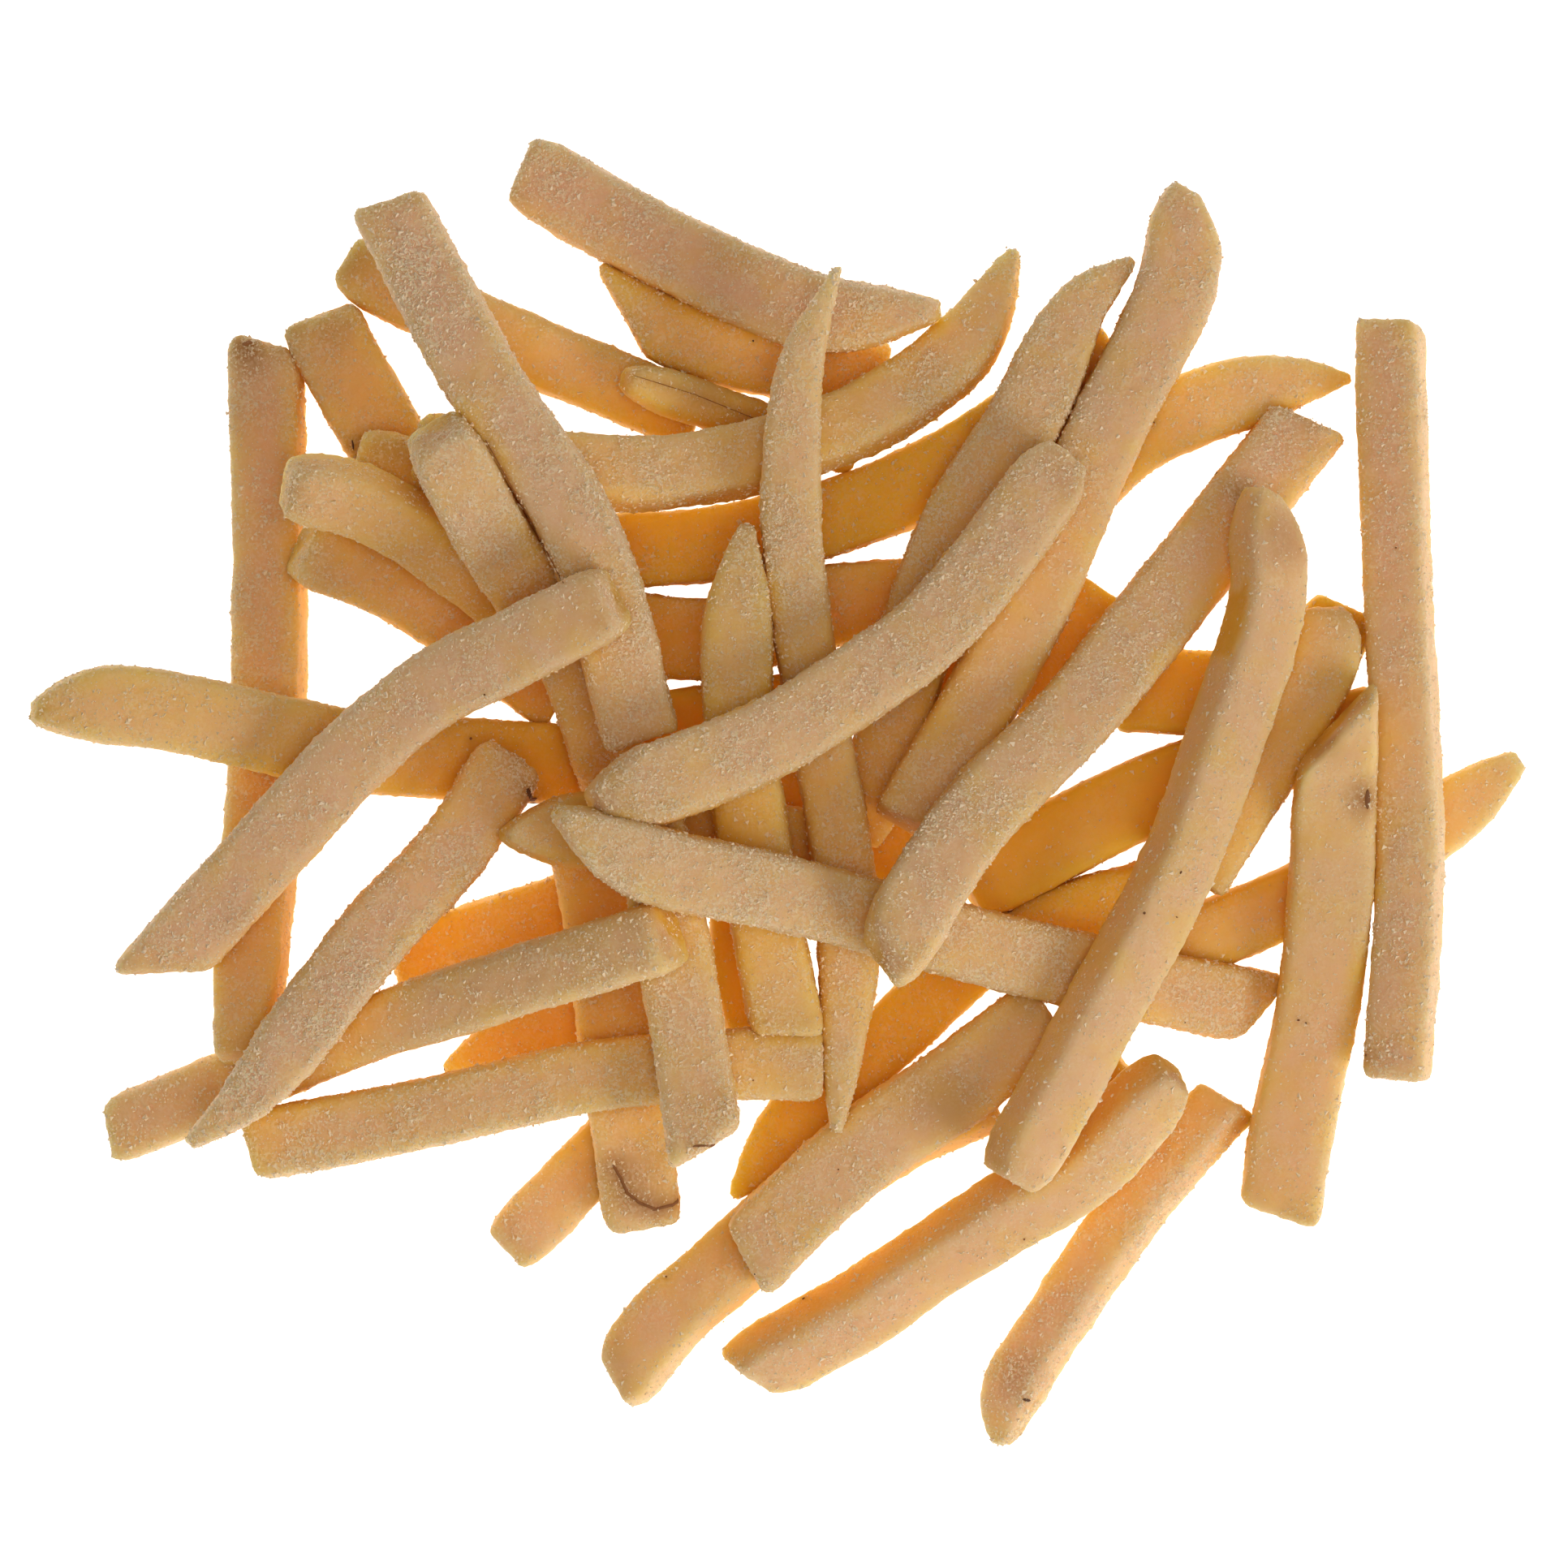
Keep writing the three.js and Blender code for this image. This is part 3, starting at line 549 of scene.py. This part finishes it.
def relief(fry, points, frost):
    hills = np.clip(0.5 - crumbs_at(points, CRUMB_SIZE), 0, None) * 2
    return (SWELL * noise_at(points, SWELL_SIZE) + DENT * noise_at(points, DENT_SIZE, 5.0)
            + (GRAIN * noise_at(points, GRAIN_SIZE, 9.0) + CRUMB * hills)
            * (BARE_CRUMB + (1 - BARE_CRUMB) * frost))


TOAST_REACH = 5.0  # how far from a cut end the skin is browned, mm


def toast_on(fry, block, points):
    """How browned the skin is: at the ends, where the fryer's heat came from three sides, in patches."""
    to_end = np.minimum(block[:, 0], fry.length - block[:, 0])
    patch = 0.5 + noise_at(points, 3.5, 53.0)
    return np.clip(1 - to_end / TOAST_REACH, 0, 1) ** 1.5 * np.clip(patch, 0, 1)


# %% [markdown]
# ## Four layers of the heap
# The fries are made in four pieces, from the lowest to the topmost, so that each stays a size that a
# computer handles well. Every piece is built as one mesh: the blocks are appended in turn, and the
# slice of points that each fill is then warped and roughened. What the material will need is written
# to the points as attributes.

# %% Build the pieces
def write_attribute(mesh, name, values):
    mesh.attributes.new(name, "FLOAT", "POINT").data.foreach_set("value", values.astype(np.float32))


def layer_of_fries(name, members):
    joined, counts, raw = bmesh.new(), [], bpy.data.meshes.new("block")
    for fry in members:
        block = fry_block(fry)
        block.to_mesh(raw)
        counts.append(len(block.verts))
        joined.from_mesh(raw)
        block.free()
    for face in joined.faces:
        face.smooth = True
    mesh = bpy.data.meshes.new(name)
    joined.to_mesh(mesh)
    joined.free()
    bpy.data.meshes.remove(raw)

    points = np.empty(len(mesh.vertices) * 3)
    mesh.vertices.foreach_get("co", points)
    points = points.reshape(-1, 3)
    ends = np.cumsum(counts)
    slices = [slice(end - count, end) for end, count in zip(ends, counts)]
    closed, toast = np.empty(len(points)), np.empty(len(points))
    for fry, part in zip(members, slices):
        block = points[part].copy()
        closed[part] = closed_at(fry, block)
        points[part] = lay(fry, block)
        toast[part] = toast_on(fry, block, points[part])
    mesh.vertices.foreach_set("co", points.ravel())
    mesh.update()
    normals = np.empty(len(mesh.vertices) * 3, np.float32)
    mesh.vertex_normals.foreach_get("vector", normals)
    normals = normals.reshape(-1, 3).astype(float)

    amber, frost = np.empty(len(points)), np.empty(len(points))
    for fry, part in zip(members, slices):
        # each fry's amber: partly its own tone, partly painted shade given to the lower fries
        amber[part] = fry.amber
        frost[part] = frost_on(fry, points[part], normals[part])
        points[part] += normals[part] * relief(fry, points[part], frost[part])[:, None]
    points[:, 2] = np.maximum(points[:, 2], 0)
    mesh.vertices.foreach_set("co", (points * MM).ravel())
    mesh.update()
    write_attribute(mesh, "amber", amber)
    write_attribute(mesh, "frost", frost)
    write_attribute(mesh, "closed_in", closed)
    write_attribute(mesh, "toast", toast)
    piece = bpy.data.objects.new(name, mesh)
    bpy.context.scene.collection.objects.link(piece)
    print(name, len(members), "fries,", sum(len(f.vertices) - 2 for f in mesh.polygons), "triangles")
    return piece


LAYERS = {"lowest_fries": (0, 16), "lower_fries": (16, 28), "upper_fries": (28, 40), "top_fries": (40, 51)}
layers = [layer_of_fries(name, fries[first:after]) for name, (first, after) in LAYERS.items()]

# %% [markdown]
# ## Browned spots and dark specks
# Potatoes have eyes, bruises and shreds of skin that the peeler missed. The fryer turns them brown. Each
# is given by where it is seen from above, its size, how dark it is, and how far it stains the flesh
# round it. A ray from the eye finds the surface it sits on. A speck itself is a little lens, pressed
# into the skin: a sphere of few faces, flattened along the surface's normal. Not all of it is browning:
# one line of lenses is painted shade where two fries meet, and some of the soft patches are painted
# shade.

# %% Where the specks lie
EYE = Vector((0.0002, 0.001, 1.6))  # the heap is looked at from here, metres
SPECKS = [  # across and up from the middle of the view, length, width, turn, darkness, stain, its reach
    (-66.1, 54.3, 1.6, 0.9, 20, 0.0, 0.9, 2.2), (-53.1, 41.8, 0.3, 1.8, 8, 0.9, 0.6, 1.2),
    (-31.0, -1.9, 1.6, 0.8, 55, 0.75, 0.9, 2.4), (71.9, -1.9, 0.7, 2.9, 0, 0.4, 1.0, 2.6),
    (27.9, -15.6, 1.0, 0.5, 20, 0.8, 0.6, 1.2), (23.7, -46.6, 0.8, 1.4, 20, 0.65, 0.9, 1.6),
    (29.9, -75.9, 0.5, 1.3, 75, 0.8, 0.5, 1.0), (-3.8, 54.6, 0.3, 0.3, 0, 0.95, 0.3, 0.6),
    (44.4, -15.9, 0.4, 0.4, 0, 0.6, 0.3, 0.6), (48.9, -10.9, 0.3, 0.5, -30, 0.6, 0.2, 0.5),
    (48.4, -16.4, 0.4, 0.2, -30, 0.25, 0.2, 0.6), (2.4, -63.4, 0.5, 0.35, 0, 0.7, 0.5, 0.9),
    (63.4, -29.1, 0.4, 0.3, 0, 0.55, 0.4, 0.7), (64.3, -29.5, 0.3, 0.4, 0, 0.6, 0.3, 0.6),
    (29.6, -56.1, 0.3, 0.4, 0, 0.35, 0.4, 0.8), (-36.9, 11.0, 0.3, 0.3, 0, 0.6, 0.2, 0.5),
    (-38.6, 5.6, 0.4, 0.4, 0, 0.35, 0.4, 1.0), (49.4, -29.4, 0.25, 0.3, 0, 0.4, 0.2, 0.5),
    (75.4, 29.1, 0.25, 0.25, 0, 0.5, 0.2, 0.4), (-41.6, -15.9, 0.4, 0.3, 0, 0.35, 0.5, 0.9),
    (-41.8, -35.2, 0.6, 0.4, 30, 0.3, 0.7, 1.3), (-3.6, -60.4, 0.35, 0.25, 40, 0.7, 0.2, 0.5),
    (6.7, -47.5, 0.25, 0.25, 0, 0.7, 0.2, 0.4), (70.9, -33.4, 0.5, 0.3, -30, 0.3, 0.6, 1.6),
    (-14.5, -60.7, 0.3, 0.3, 0, 0.3, 0.4, 0.8), (-3.8, -36.5, 0.3, 0.2, 0, 0.6, 0.2, 0.4),
    (45.5, 44.6, 0.5, 0.25, -20, 0.35, 0.4, 0.9), (52.9, 38.3, 0.4, 0.4, 0, 0.25, 0.4, 0.9),
]
CRACKS_AND_SHADE_LINE = [  # the points that a browned crack runs through, its width, darkness, stain and reach; the third is a painted shade line where two fries meet, not a crack
    ([(-20.9, -47.2), (-20.1, -48.6), (-19.3, -50.4), (-17.8, -51.6), (-15.8, -52.4), (-13.6, -51.8),
      (-12.9, -51.2)], 0.45, 0.3, 0.8, 2.4),
    ([(-18.1, 50.2), (-11.0, 48.0), (-3.6, 45.0)], 0.1, 0.0, 0.3, 0.8),
    # painted shade, not a crack: a line where two fries meet
    ([(-36.6, 42.1), (-31.8, 33.6), (-27.1, 24.6)], 0.16, 0.15, 0.5, 0.8),
    ([(-10.9, -44.6), (-8.1, -44.5)], 0.35, 0.4, 0.7, 1.4),
    ([(-31.5, -0.9), (-30.8, -2.6)], 0.7, 0.75, 0.9, 2.4),
]
CRACK_STEP = 0.3
BROWN_AND_SHADE_PATCHES = [  # soft patches, some browned flesh and some painted shade: across, up, radius, strength
    (62.0, 30.5, 4.2, 0.45), (55.9, 36.5, 2.2, 0.3), (70.5, 20.5, 4.0, 0.4), (35.6, 38.0, 3.6, 0.3),
    (19.0, -38.5, 5.0, 0.35), (-66.0, 53.2, 3.0, 0.6), (-55.5, 56.5, 3.0, 0.3), (-49.0, 41.5, 4.0, 0.3),
    (-57.5, 29.5, 3.4, 0.25), (29.5, -73.0, 3.6, 0.3), (-18.5, -48.5, 4.4, 0.3), (74.0, -34.5, 5.0, 0.2),
    (59.0, -22.5, 3.0, 0.3), (-7.0, -40.0, 4.0, 0.2), (-67.0, -17.5, 3.6, 0.25), (24.8, -44.8, 2.4, 0.35),
    (-7.5, 46.0, 5.0, 0.3), (42.0, 65.0, 3.4, 0.2), (-92.0, 8.6, 4.0, 0.2),
]

for points, wide, dark, stain, reach in CRACKS_AND_SHADE_LINE:
    for (x0, y0), (x1, y1) in zip(points, points[1:]):
        steps = max(1, round(math.hypot(x1 - x0, y1 - y0) / CRACK_STEP))
        for k in range(steps):
            x, y = x0 + (x1 - x0) * k / steps, y0 + (y1 - y0) * k / steps
            SPECKS.append((x, y, CRACK_STEP * 3, wide, math.degrees(math.atan2(y1 - y0, x1 - x0)),
                           dark, stain, reach))
print(len(SPECKS), "specks")


# %% Drop them on the heap and stain the skin
def heap_tree(pieces):
    whole = bmesh.new()
    for piece in pieces:
        whole.from_mesh(piece.data)
    tree = BVHTree.FromBMesh(whole)
    whole.free()
    return tree


SEEK = ((0, 0), (0.4, 0), (-0.4, 0), (0, 0.4), (0, -0.4), (0.8, 0), (-0.8, 0), (0, 0.8), (0, -0.8))


def drop(tree, x, y):
    """Where a ray from the eye through a point of the table meets the heap, or the nearest to it."""
    for aside, upward in SEEK:
        aim = Vector((EYE.x + (x + aside) * MM, EYE.y + (y + upward) * MM, 0))
        place, normal, _, _ = tree.ray_cast(EYE, (aim - EYE).normalized())
        if place is not None:
            return place, normal
    return None, None


def placed_specks(tree):
    found = []
    for x, y, long, wide, turn, dark, stain, reach in SPECKS:
        place, normal = drop(tree, x, y)
        if place is not None:
            found.append((place, normal, long, wide, turn, dark, stain, reach))
    return found


def brown_and_shade_skin(piece, specks):
    """Browns the skin round each speck, adds the soft patches, some of them painted shade, and writes how much
    to every point.
    """
    points = np.empty(len(piece.data.vertices) * 3)
    piece.data.vertices.foreach_get("co", points)
    points = points.reshape(-1, 3) / MM
    stain_and_shade = np.zeros(len(points))
    for place, _, long, wide, _, _, stain, reach in specks:
        away = np.linalg.norm(points - np.array(place) / MM, axis=1)
        rim = reach + max(long, wide) / 2
        stain_and_shade = np.maximum(stain_and_shade, stain * np.clip(1 - away / rim, 0, 1) ** 1.3)
    # soft patches: some real browning, some painted shade
    for x, y, radius, strength in BROWN_AND_SHADE_PATCHES:
        place, _ = drop(heap_surface, x, y)
        away = np.linalg.norm(points - np.array(place) / MM, axis=1)
        patch = strength * (1 - np.clip(away / (radius * 1.5), 0, 1) ** 2) ** 2
        stain_and_shade = stain_and_shade + (1 - stain_and_shade) * patch
    write_attribute(piece.data, "stain", stain_and_shade)


heap_surface = heap_tree(layers)
specks = placed_specks(heap_surface)
for piece in layers:
    brown_and_shade_skin(piece, specks)
print(len(specks), "specks found a surface")


# %% Copies of one small shape
def template(make):
    """Points and faces of a small shape that bmesh makes."""
    bm = bmesh.new()
    make(bm)
    bm.verts.ensure_lookup_table()
    points = np.array([vert.co for vert in bm.verts])
    faces = [[vert.index for vert in face.verts] for face in bm.faces]
    bm.free()
    return points, faces


def upright_on(normals, turns):
    """Matrices that turn +Z to each normal, after a turn about it."""
    spare = np.where(np.abs(normals[:, 2:]) < 0.9, (0.0, 0.0, 1.0), (1.0, 0.0, 0.0))
    first = np.cross(spare, normals)
    first /= np.linalg.norm(first, axis=1)[:, None]
    second = np.cross(normals, first)
    c, s = np.cos(turns)[:, None], np.sin(turns)[:, None]
    return np.stack([first * c + second * s, second * c - first * s, normals], axis=2)


def copies(name, shape, places, frames, sizes, attributes):
    """One mesh of many copies of a shape, each with its own place, frame and three sizes."""
    points, faces = shape
    laid = np.einsum("nij,nkj->nki", frames, points[None] * sizes[:, None, :]) + places[:, None, :]
    index = np.array(faces)
    index = (index[None] + np.arange(len(places))[:, None, None] * len(points)).reshape(-1, index.shape[1])
    mesh = bpy.data.meshes.new(name)
    mesh.from_pydata(laid.reshape(-1, 3).tolist(), [], index.tolist())
    for key, values in attributes.items():
        write_attribute(mesh, key, np.repeat(values, len(points)))
    piece = bpy.data.objects.new(name, mesh)
    bpy.context.scene.collection.objects.link(piece)
    print(name, len(places), "copies,", len(places) * len(faces), "triangles")
    return piece


def speck_piece(specks):
    lens = template(lambda bm: bmesh.ops.create_icosphere(bm, subdivisions=1, radius=0.5))
    places = np.array([tuple(s[0]) for s in specks])
    normals = np.array([tuple(s[1]) for s in specks])
    turns = np.radians([s[4] for s in specks])
    # the turn is given as seen from above, so the frame's first axis starts from +X
    first = np.column_stack([np.cos(turns), np.sin(turns), np.zeros(len(turns))])
    first -= normals * (first * normals).sum(1)[:, None]
    first /= np.linalg.norm(first, axis=1)[:, None]
    frames = np.stack([first, np.cross(normals, first), normals], axis=2)
    sizes = np.array([(s[2], s[3], 0.24) for s in specks]) * MM
    return copies("dark_specks", lens, places, frames, sizes, {"dark": np.array([s[5] for s in specks])})


dark_specks = speck_piece(specks)

# %% [markdown]
# ## Loose grains of frost
# Ice crystals stand on the skin like coarse sugar. The smallest are only colour and relief, and the
# larger ones are real: four-faced crystals, a few tenths of a millimetre across, sunk halfway into the
# skin. They are thrown at random over the faces, more where the frost attribute is high, and every draw
# is seeded, so that they fall the same way each time.

# %% Scatter the grains
GRAIN_KINDS = {  # name: how many, smallest and largest mm across, how far the middle one is to the large
    "fine_frost": (49000, 0.16, 0.36, 1.0),
    "coarse_frost": (36000, 0.3, 0.75, 2.5),
}
RANDOM = np.random.default_rng(7)


def scatter(pieces, count):
    """Places, normals and the attributes of the skin under each grain."""
    found = []
    for piece in pieces:
        mesh = piece.data
        polygons = len(mesh.polygons)
        area, centre, normal = np.empty(polygons), np.empty(polygons * 3), np.empty(polygons * 3)
        mesh.polygons.foreach_get("area", area)
        mesh.polygons.foreach_get("center", centre)
        mesh.polygons.foreach_get("normal", normal)
        corner = np.empty(polygons, np.int32)
        mesh.polygons.foreach_get("loop_start", corner)
        vertex = np.empty(len(mesh.loops), np.int32)
        mesh.loops.foreach_get("vertex_index", vertex)
        at = vertex[corner]
        skin = {}
        for key in ("frost", "amber", "closed_in"):
            values = np.empty(len(mesh.vertices), np.float32)
            mesh.attributes[key].data.foreach_get("value", values)
            skin[key] = values[at]
        found.append((area, centre.reshape(-1, 3), normal.reshape(-1, 3), skin))
    area, centre, normal = (np.concatenate([part[k] for part in found]) for k in range(3))
    skin = {key: np.concatenate([part[3][key] for part in found]) for key in found[0][3]}
    open_skin = 0.12 + shaped(normal[:, 2], -0.2, 0.6) * (1 - 0.85 * skin["closed_in"])
    chance = area * (0.05 + skin["frost"] ** 1.5) * open_skin
    pick = RANDOM.choice(len(area), count, p=chance / chance.sum())
    return centre[pick], normal[pick], {key: values[pick] for key, values in skin.items()}


def frost_piece(name, count, low, high, power):
    crystal = template(lambda bm: bmesh.ops.create_cone(bm, cap_ends=True, segments=3, radius1=0.62,
                                                        radius2=0, depth=0.9))
    places, normals, skin = scatter(layers, count)
    span = low + (high - low) * RANDOM.random(count) ** power
    sizes = span[:, None] * (0.7 + 0.6 * RANDOM.random((count, 3))) * MM
    sizes[:, 2] *= 0.6
    spread = RANDOM.normal(0, 0.25, (count, 3)) * MM
    spread -= normals * (spread * normals).sum(1)[:, None]
    lift = normals * (span * 0.1)[:, None] * MM
    leaning = normals + RANDOM.normal(0, 0.25, (count, 3))
    leaning /= np.linalg.norm(leaning, axis=1)[:, None]
    frames = upright_on(leaning, RANDOM.random(count) * 2 * math.pi)
    return copies(name, crystal, places + spread + lift, frames, sizes, skin)


frosts = [frost_piece(name, *kind) for name, kind in GRAIN_KINDS.items()]

# %% [markdown]
# ## Potato that lets light through
# Par-fried potato: moist starch under a thin dry skin. Light enters it and comes out again some
# millimetres on, so it gets a strong subsurface share, with red reaching furthest and blue hardly at
# all, which is why thin parts lit from behind glow orange. Colours are given as sRGB hex values and
# turned to linear ones by one function. One small helper adds every node.

# %% Node helpers
def linear(hex_colour, alpha=1.0):
    """A linear colour from an sRGB hex value such as "D9B27C"."""
    parts = [int(hex_colour[k:k + 2], 16) / 255 for k in (0, 2, 4)]
    return tuple(c / 12.92 if c <= 0.04045 else ((c + 0.055) / 1.055) ** 2.4 for c in parts) + (alpha,)


def add_node(tree, kind, settings=None, **inputs):
    """Adds a node. `settings` are its own properties; inputs are values, or sockets to link from."""
    node = tree.nodes.new(kind)
    for key, value in (settings or {}).items():
        setattr(node, key, value)
    for key, value in inputs.items():
        name = key.replace("_", " ")
        socket = node.inputs[int(key[1:])] if key[0] == "i" and key[1:].isdigit() else node.inputs[name]
        if isinstance(value, bpy.types.NodeSocket):
            tree.links.new(value, socket)
        else:
            socket.default_value = value
    return node


def new_material(name):
    material = bpy.data.materials.new(name)
    material.use_nodes = True
    material.node_tree.nodes.clear()
    return material


# %% Potato flesh, browned skin and frost
FLESH_PALE = linear("F0C191")
FLESH_AMBER = linear("F5C63C")
DEEP_SHADE_AMBER = linear("E09028")
BROWN_AND_SHADE = linear("B5763A")
LIGHT_SCAB_AND_SHADE = linear("A5662C")
DARK_SCAB_AND_SHADE = linear("3F2210")
FROST = linear("FFEAC0")
ICE = linear("FFF0D0")


def attribute(tree, name):
    return add_node(tree, "ShaderNodeAttribute", {"attribute_name": name}).outputs["Fac"]


def blend_colours(tree, share, first, second):
    mix = add_node(tree, "ShaderNodeMix", {"data_type": "RGBA"}, i0=share, i6=first, i7=second)
    return mix.outputs[2]


def stretched(tree, value, low, high, least, most):
    """A value from low to high turned to one from least to most, and held between them."""
    return add_node(tree, "ShaderNodeMapRange", {}, i0=value, i1=low, i2=high, i3=least, i4=most).outputs[0]


def flesh_with_painted_shade(tree):
    """Pale on top of the heap, amber in the fries that cooked longer; painted shade deepens the amber in its
    pockets and on the lower fries.
    """
    # painted shade: the flesh goes deeper amber the more closed in a place is, less so under frost
    pocket_shade = stretched(tree, attribute(tree, "closed_in"), 0.1, 0.95, 0.0, 0.8)
    bare = stretched(tree, attribute(tree, "frost"), 0.0, 1.0, 1.0, 0.6)
    depth = add_node(tree, "ShaderNodeMath", {"operation": "MULTIPLY_ADD", "use_clamp": True},
                     i0=pocket_shade, i1=bare, i2=attribute(tree, "amber"))
    flesh = blend_colours(tree, depth.outputs[0], FLESH_PALE, FLESH_AMBER)
    # painted shade: the most closed-in places go further, to a deep amber
    buried_shade = stretched(tree, attribute(tree, "closed_in"), 0.5, 0.95, 0.0, 0.45)
    return blend_colours(tree, buried_shade, flesh, DEEP_SHADE_AMBER)


def translucent(shader, weight):
    shader.inputs["Subsurface Weight"].default_value = weight
    shader.inputs["Subsurface Radius"].default_value = (0.8, 1.0, 0.6)
    shader.inputs["Subsurface Scale"].default_value = 0.006
    shader.inputs["Specular IOR Level"].default_value = 0.2


def potato_material():
    material = new_material("par_fried_potato")
    tree = material.node_tree
    place = add_node(tree, "ShaderNodeTexCoord").outputs["Object"]
    blotch = add_node(tree, "ShaderNodeTexNoise", {}, Vector=place, Scale=180.0, Detail=3.0)
    # the flesh colour carries painted shade in the pockets; the noise blotches are the flesh's own uneven tone
    flesh = blend_colours(tree, stretched(tree, blotch.outputs["Fac"], 0.45, 0.75, 0.0, 0.35),
                          flesh_with_painted_shade(tree), FLESH_AMBER)
    # browning from toast at the cut ends and from the stain attribute, which also holds painted shade patches
    # and a painted shade line
    toasted = add_node(tree, "ShaderNodeMath", {"operation": "MULTIPLY"}, i0=attribute(tree, "toast"), i1=0.45)
    browned = add_node(tree, "ShaderNodeMath", {"operation": "MAXIMUM"},
                       i0=toasted.outputs[0], i1=attribute(tree, "stain"))
    skin = blend_colours(tree, browned.outputs[0], flesh, BROWN_AND_SHADE)
    crystals = add_node(tree, "ShaderNodeTexNoise", {}, Vector=place, Scale=2600.0, Detail=2.0)
    patches = add_node(tree, "ShaderNodeTexNoise", {}, Vector=place, Scale=420.0, Detail=3.0)
    ice = stretched(tree, crystals.outputs["Fac"], 0.44, 0.6, 0.0, 1.0)
    lying = stretched(tree, patches.outputs["Fac"], 0.35, 0.62, 0.4, 1.0)
    dust = add_node(tree, "ShaderNodeMath", {"operation": "MULTIPLY"}, i0=ice, i1=lying)
    # the frost colour shows at half strength where a place is closed in
    held_back_when_closed_in = stretched(tree, attribute(tree, "closed_in"), 0.3, 0.9, 1.0, 0.5)
    frost_shown = add_node(tree, "ShaderNodeMath", {"operation": "MULTIPLY"}, i0=held_back_when_closed_in,
                       i1=attribute(tree, "frost"))
    cover = add_node(tree, "ShaderNodeMath", {"operation": "MULTIPLY"}, i0=dust.outputs[0],
                     i1=frost_shown.outputs[0])
    colour = blend_colours(tree, cover.outputs[0], skin, FROST)
    height = add_node(tree, "ShaderNodeMath", {"operation": "ADD"}, i0=cover.outputs[0],
                      i1=patches.outputs["Fac"])
    bump = add_node(tree, "ShaderNodeBump", {}, Strength=0.7, Distance=0.0002,
                    Height=height.outputs[0])
    shader = add_node(tree, "ShaderNodeBsdfPrincipled", {}, Base_Color=colour, Roughness=0.62,
                      IOR=1.4, Normal=bump.outputs["Normal"])
    translucent(shader, 0.65)
    tree.links.new(stretched(tree, cover.outputs[0], 0.0, 1.0, 0.7, 0.3), shader.inputs["Subsurface Weight"])
    add_node(tree, "ShaderNodeOutputMaterial", {}, Surface=shader.outputs[0])
    return material


potato = potato_material()
for piece in layers:
    piece.data.materials.append(potato)


# %% Frost and scabs
def frost_material():
    material = new_material("ice_frost")
    tree = material.node_tree
    # the grains take the flesh colour, with its painted pocket shade, mixed with ice
    colour = blend_colours(tree, 0.6, flesh_with_painted_shade(tree), ICE)
    shader = add_node(tree, "ShaderNodeBsdfPrincipled", {}, Base_Color=colour, Roughness=0.4, IOR=1.31)
    shader.inputs["Specular IOR Level"].default_value = 0.3
    add_node(tree, "ShaderNodeOutputMaterial", {}, Surface=shader.outputs[0])
    return material


def scab_and_shade_line_material():
    material = new_material("browned_skin_and_shade_line")
    tree = material.node_tree
    # the same lenses also draw the painted shade line where two fries meet
    colour = blend_colours(tree, attribute(tree, "dark"), LIGHT_SCAB_AND_SHADE, DARK_SCAB_AND_SHADE)
    shader = add_node(tree, "ShaderNodeBsdfPrincipled", {}, Base_Color=colour, Roughness=0.7)
    add_node(tree, "ShaderNodeOutputMaterial", {}, Surface=shader.outputs[0])
    return material


frost = frost_material()
for piece in frosts:
    piece.data.materials.append(frost)
dark_specks.data.materials.append(scab_and_shade_line_material())

# %% Each piece rides on the heap's one body
for piece in (*layers, *frosts, dark_specks):
    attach(piece, "root")
for piece in layers:
    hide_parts("fries_heap")

# %% [markdown]
# ## Surface, light and camera
# The heap lies on a pale light table: the surface itself shines softly, and a big soft lamp stands to
# the right. The camera looks straight down from 1.6 m with a long lens, so the fries show hardly any
# perspective.

# %% Surface
def light_table():
    bm = bmesh.new()
    bmesh.ops.create_grid(bm, x_segments=1, y_segments=1, size=1.5)
    mesh = bpy.data.meshes.new("light_table")
    bm.to_mesh(mesh)
    bm.free()
    table = bpy.data.objects.new("light_table", mesh)
    bpy.context.scene.collection.objects.link(table)
    material = new_material("opal_acrylic")
    tree = material.node_tree
    shader = add_node(tree, "ShaderNodeBsdfPrincipled", {}, Base_Color=linear("F4F4F2"), Roughness=0.6)
    shader.inputs["Emission Color"].default_value = (1, 1, 1, 1)
    shader.inputs["Emission Strength"].default_value = 1.0
    add_node(tree, "ShaderNodeOutputMaterial", {}, Surface=shader.outputs[0])
    mesh.materials.append(material)
    return table


table = light_table()


# %% Light
def soft_lamp(name, place, side, power, colour):
    lamp = bpy.data.lights.new(name, "AREA")
    lamp.shape, lamp.size, lamp.energy, lamp.color = "SQUARE", side, power, colour
    holder = bpy.data.objects.new(name, lamp)
    holder.location = place
    holder.rotation_euler = Vector(place).to_track_quat("Z", "Y").to_euler()
    bpy.context.scene.collection.objects.link(holder)


soft_lamp("overhead_softbox", (0.1, -0.1, 1.8), 0.8, 7.8, (1, 1, 1))
soft_lamp("right_softbox", (1.15, -0.85, 1.1), 0.8, 12.6, (1, 1, 1))
world = bpy.data.worlds.new("studio")
world.use_nodes = True
world.node_tree.nodes["Background"].inputs["Color"].default_value = (1, 1, 1, 1)
world.node_tree.nodes["Background"].inputs["Strength"].default_value = 0.15
bpy.context.scene.world = world
bpy.context.scene.view_settings.view_transform = "Standard"

# %% Camera
VIEW_WIDTH = 0.1932  # width seen at the height of the table
SENSOR = 36.0
lens = bpy.data.cameras.new("camera")
lens.sensor_width = SENSOR
lens.lens = SENSOR * EYE.z / VIEW_WIDTH
camera = bpy.data.objects.new("camera", lens)
camera.location = EYE
bpy.context.scene.collection.objects.link(camera)
bpy.context.scene.camera = camera
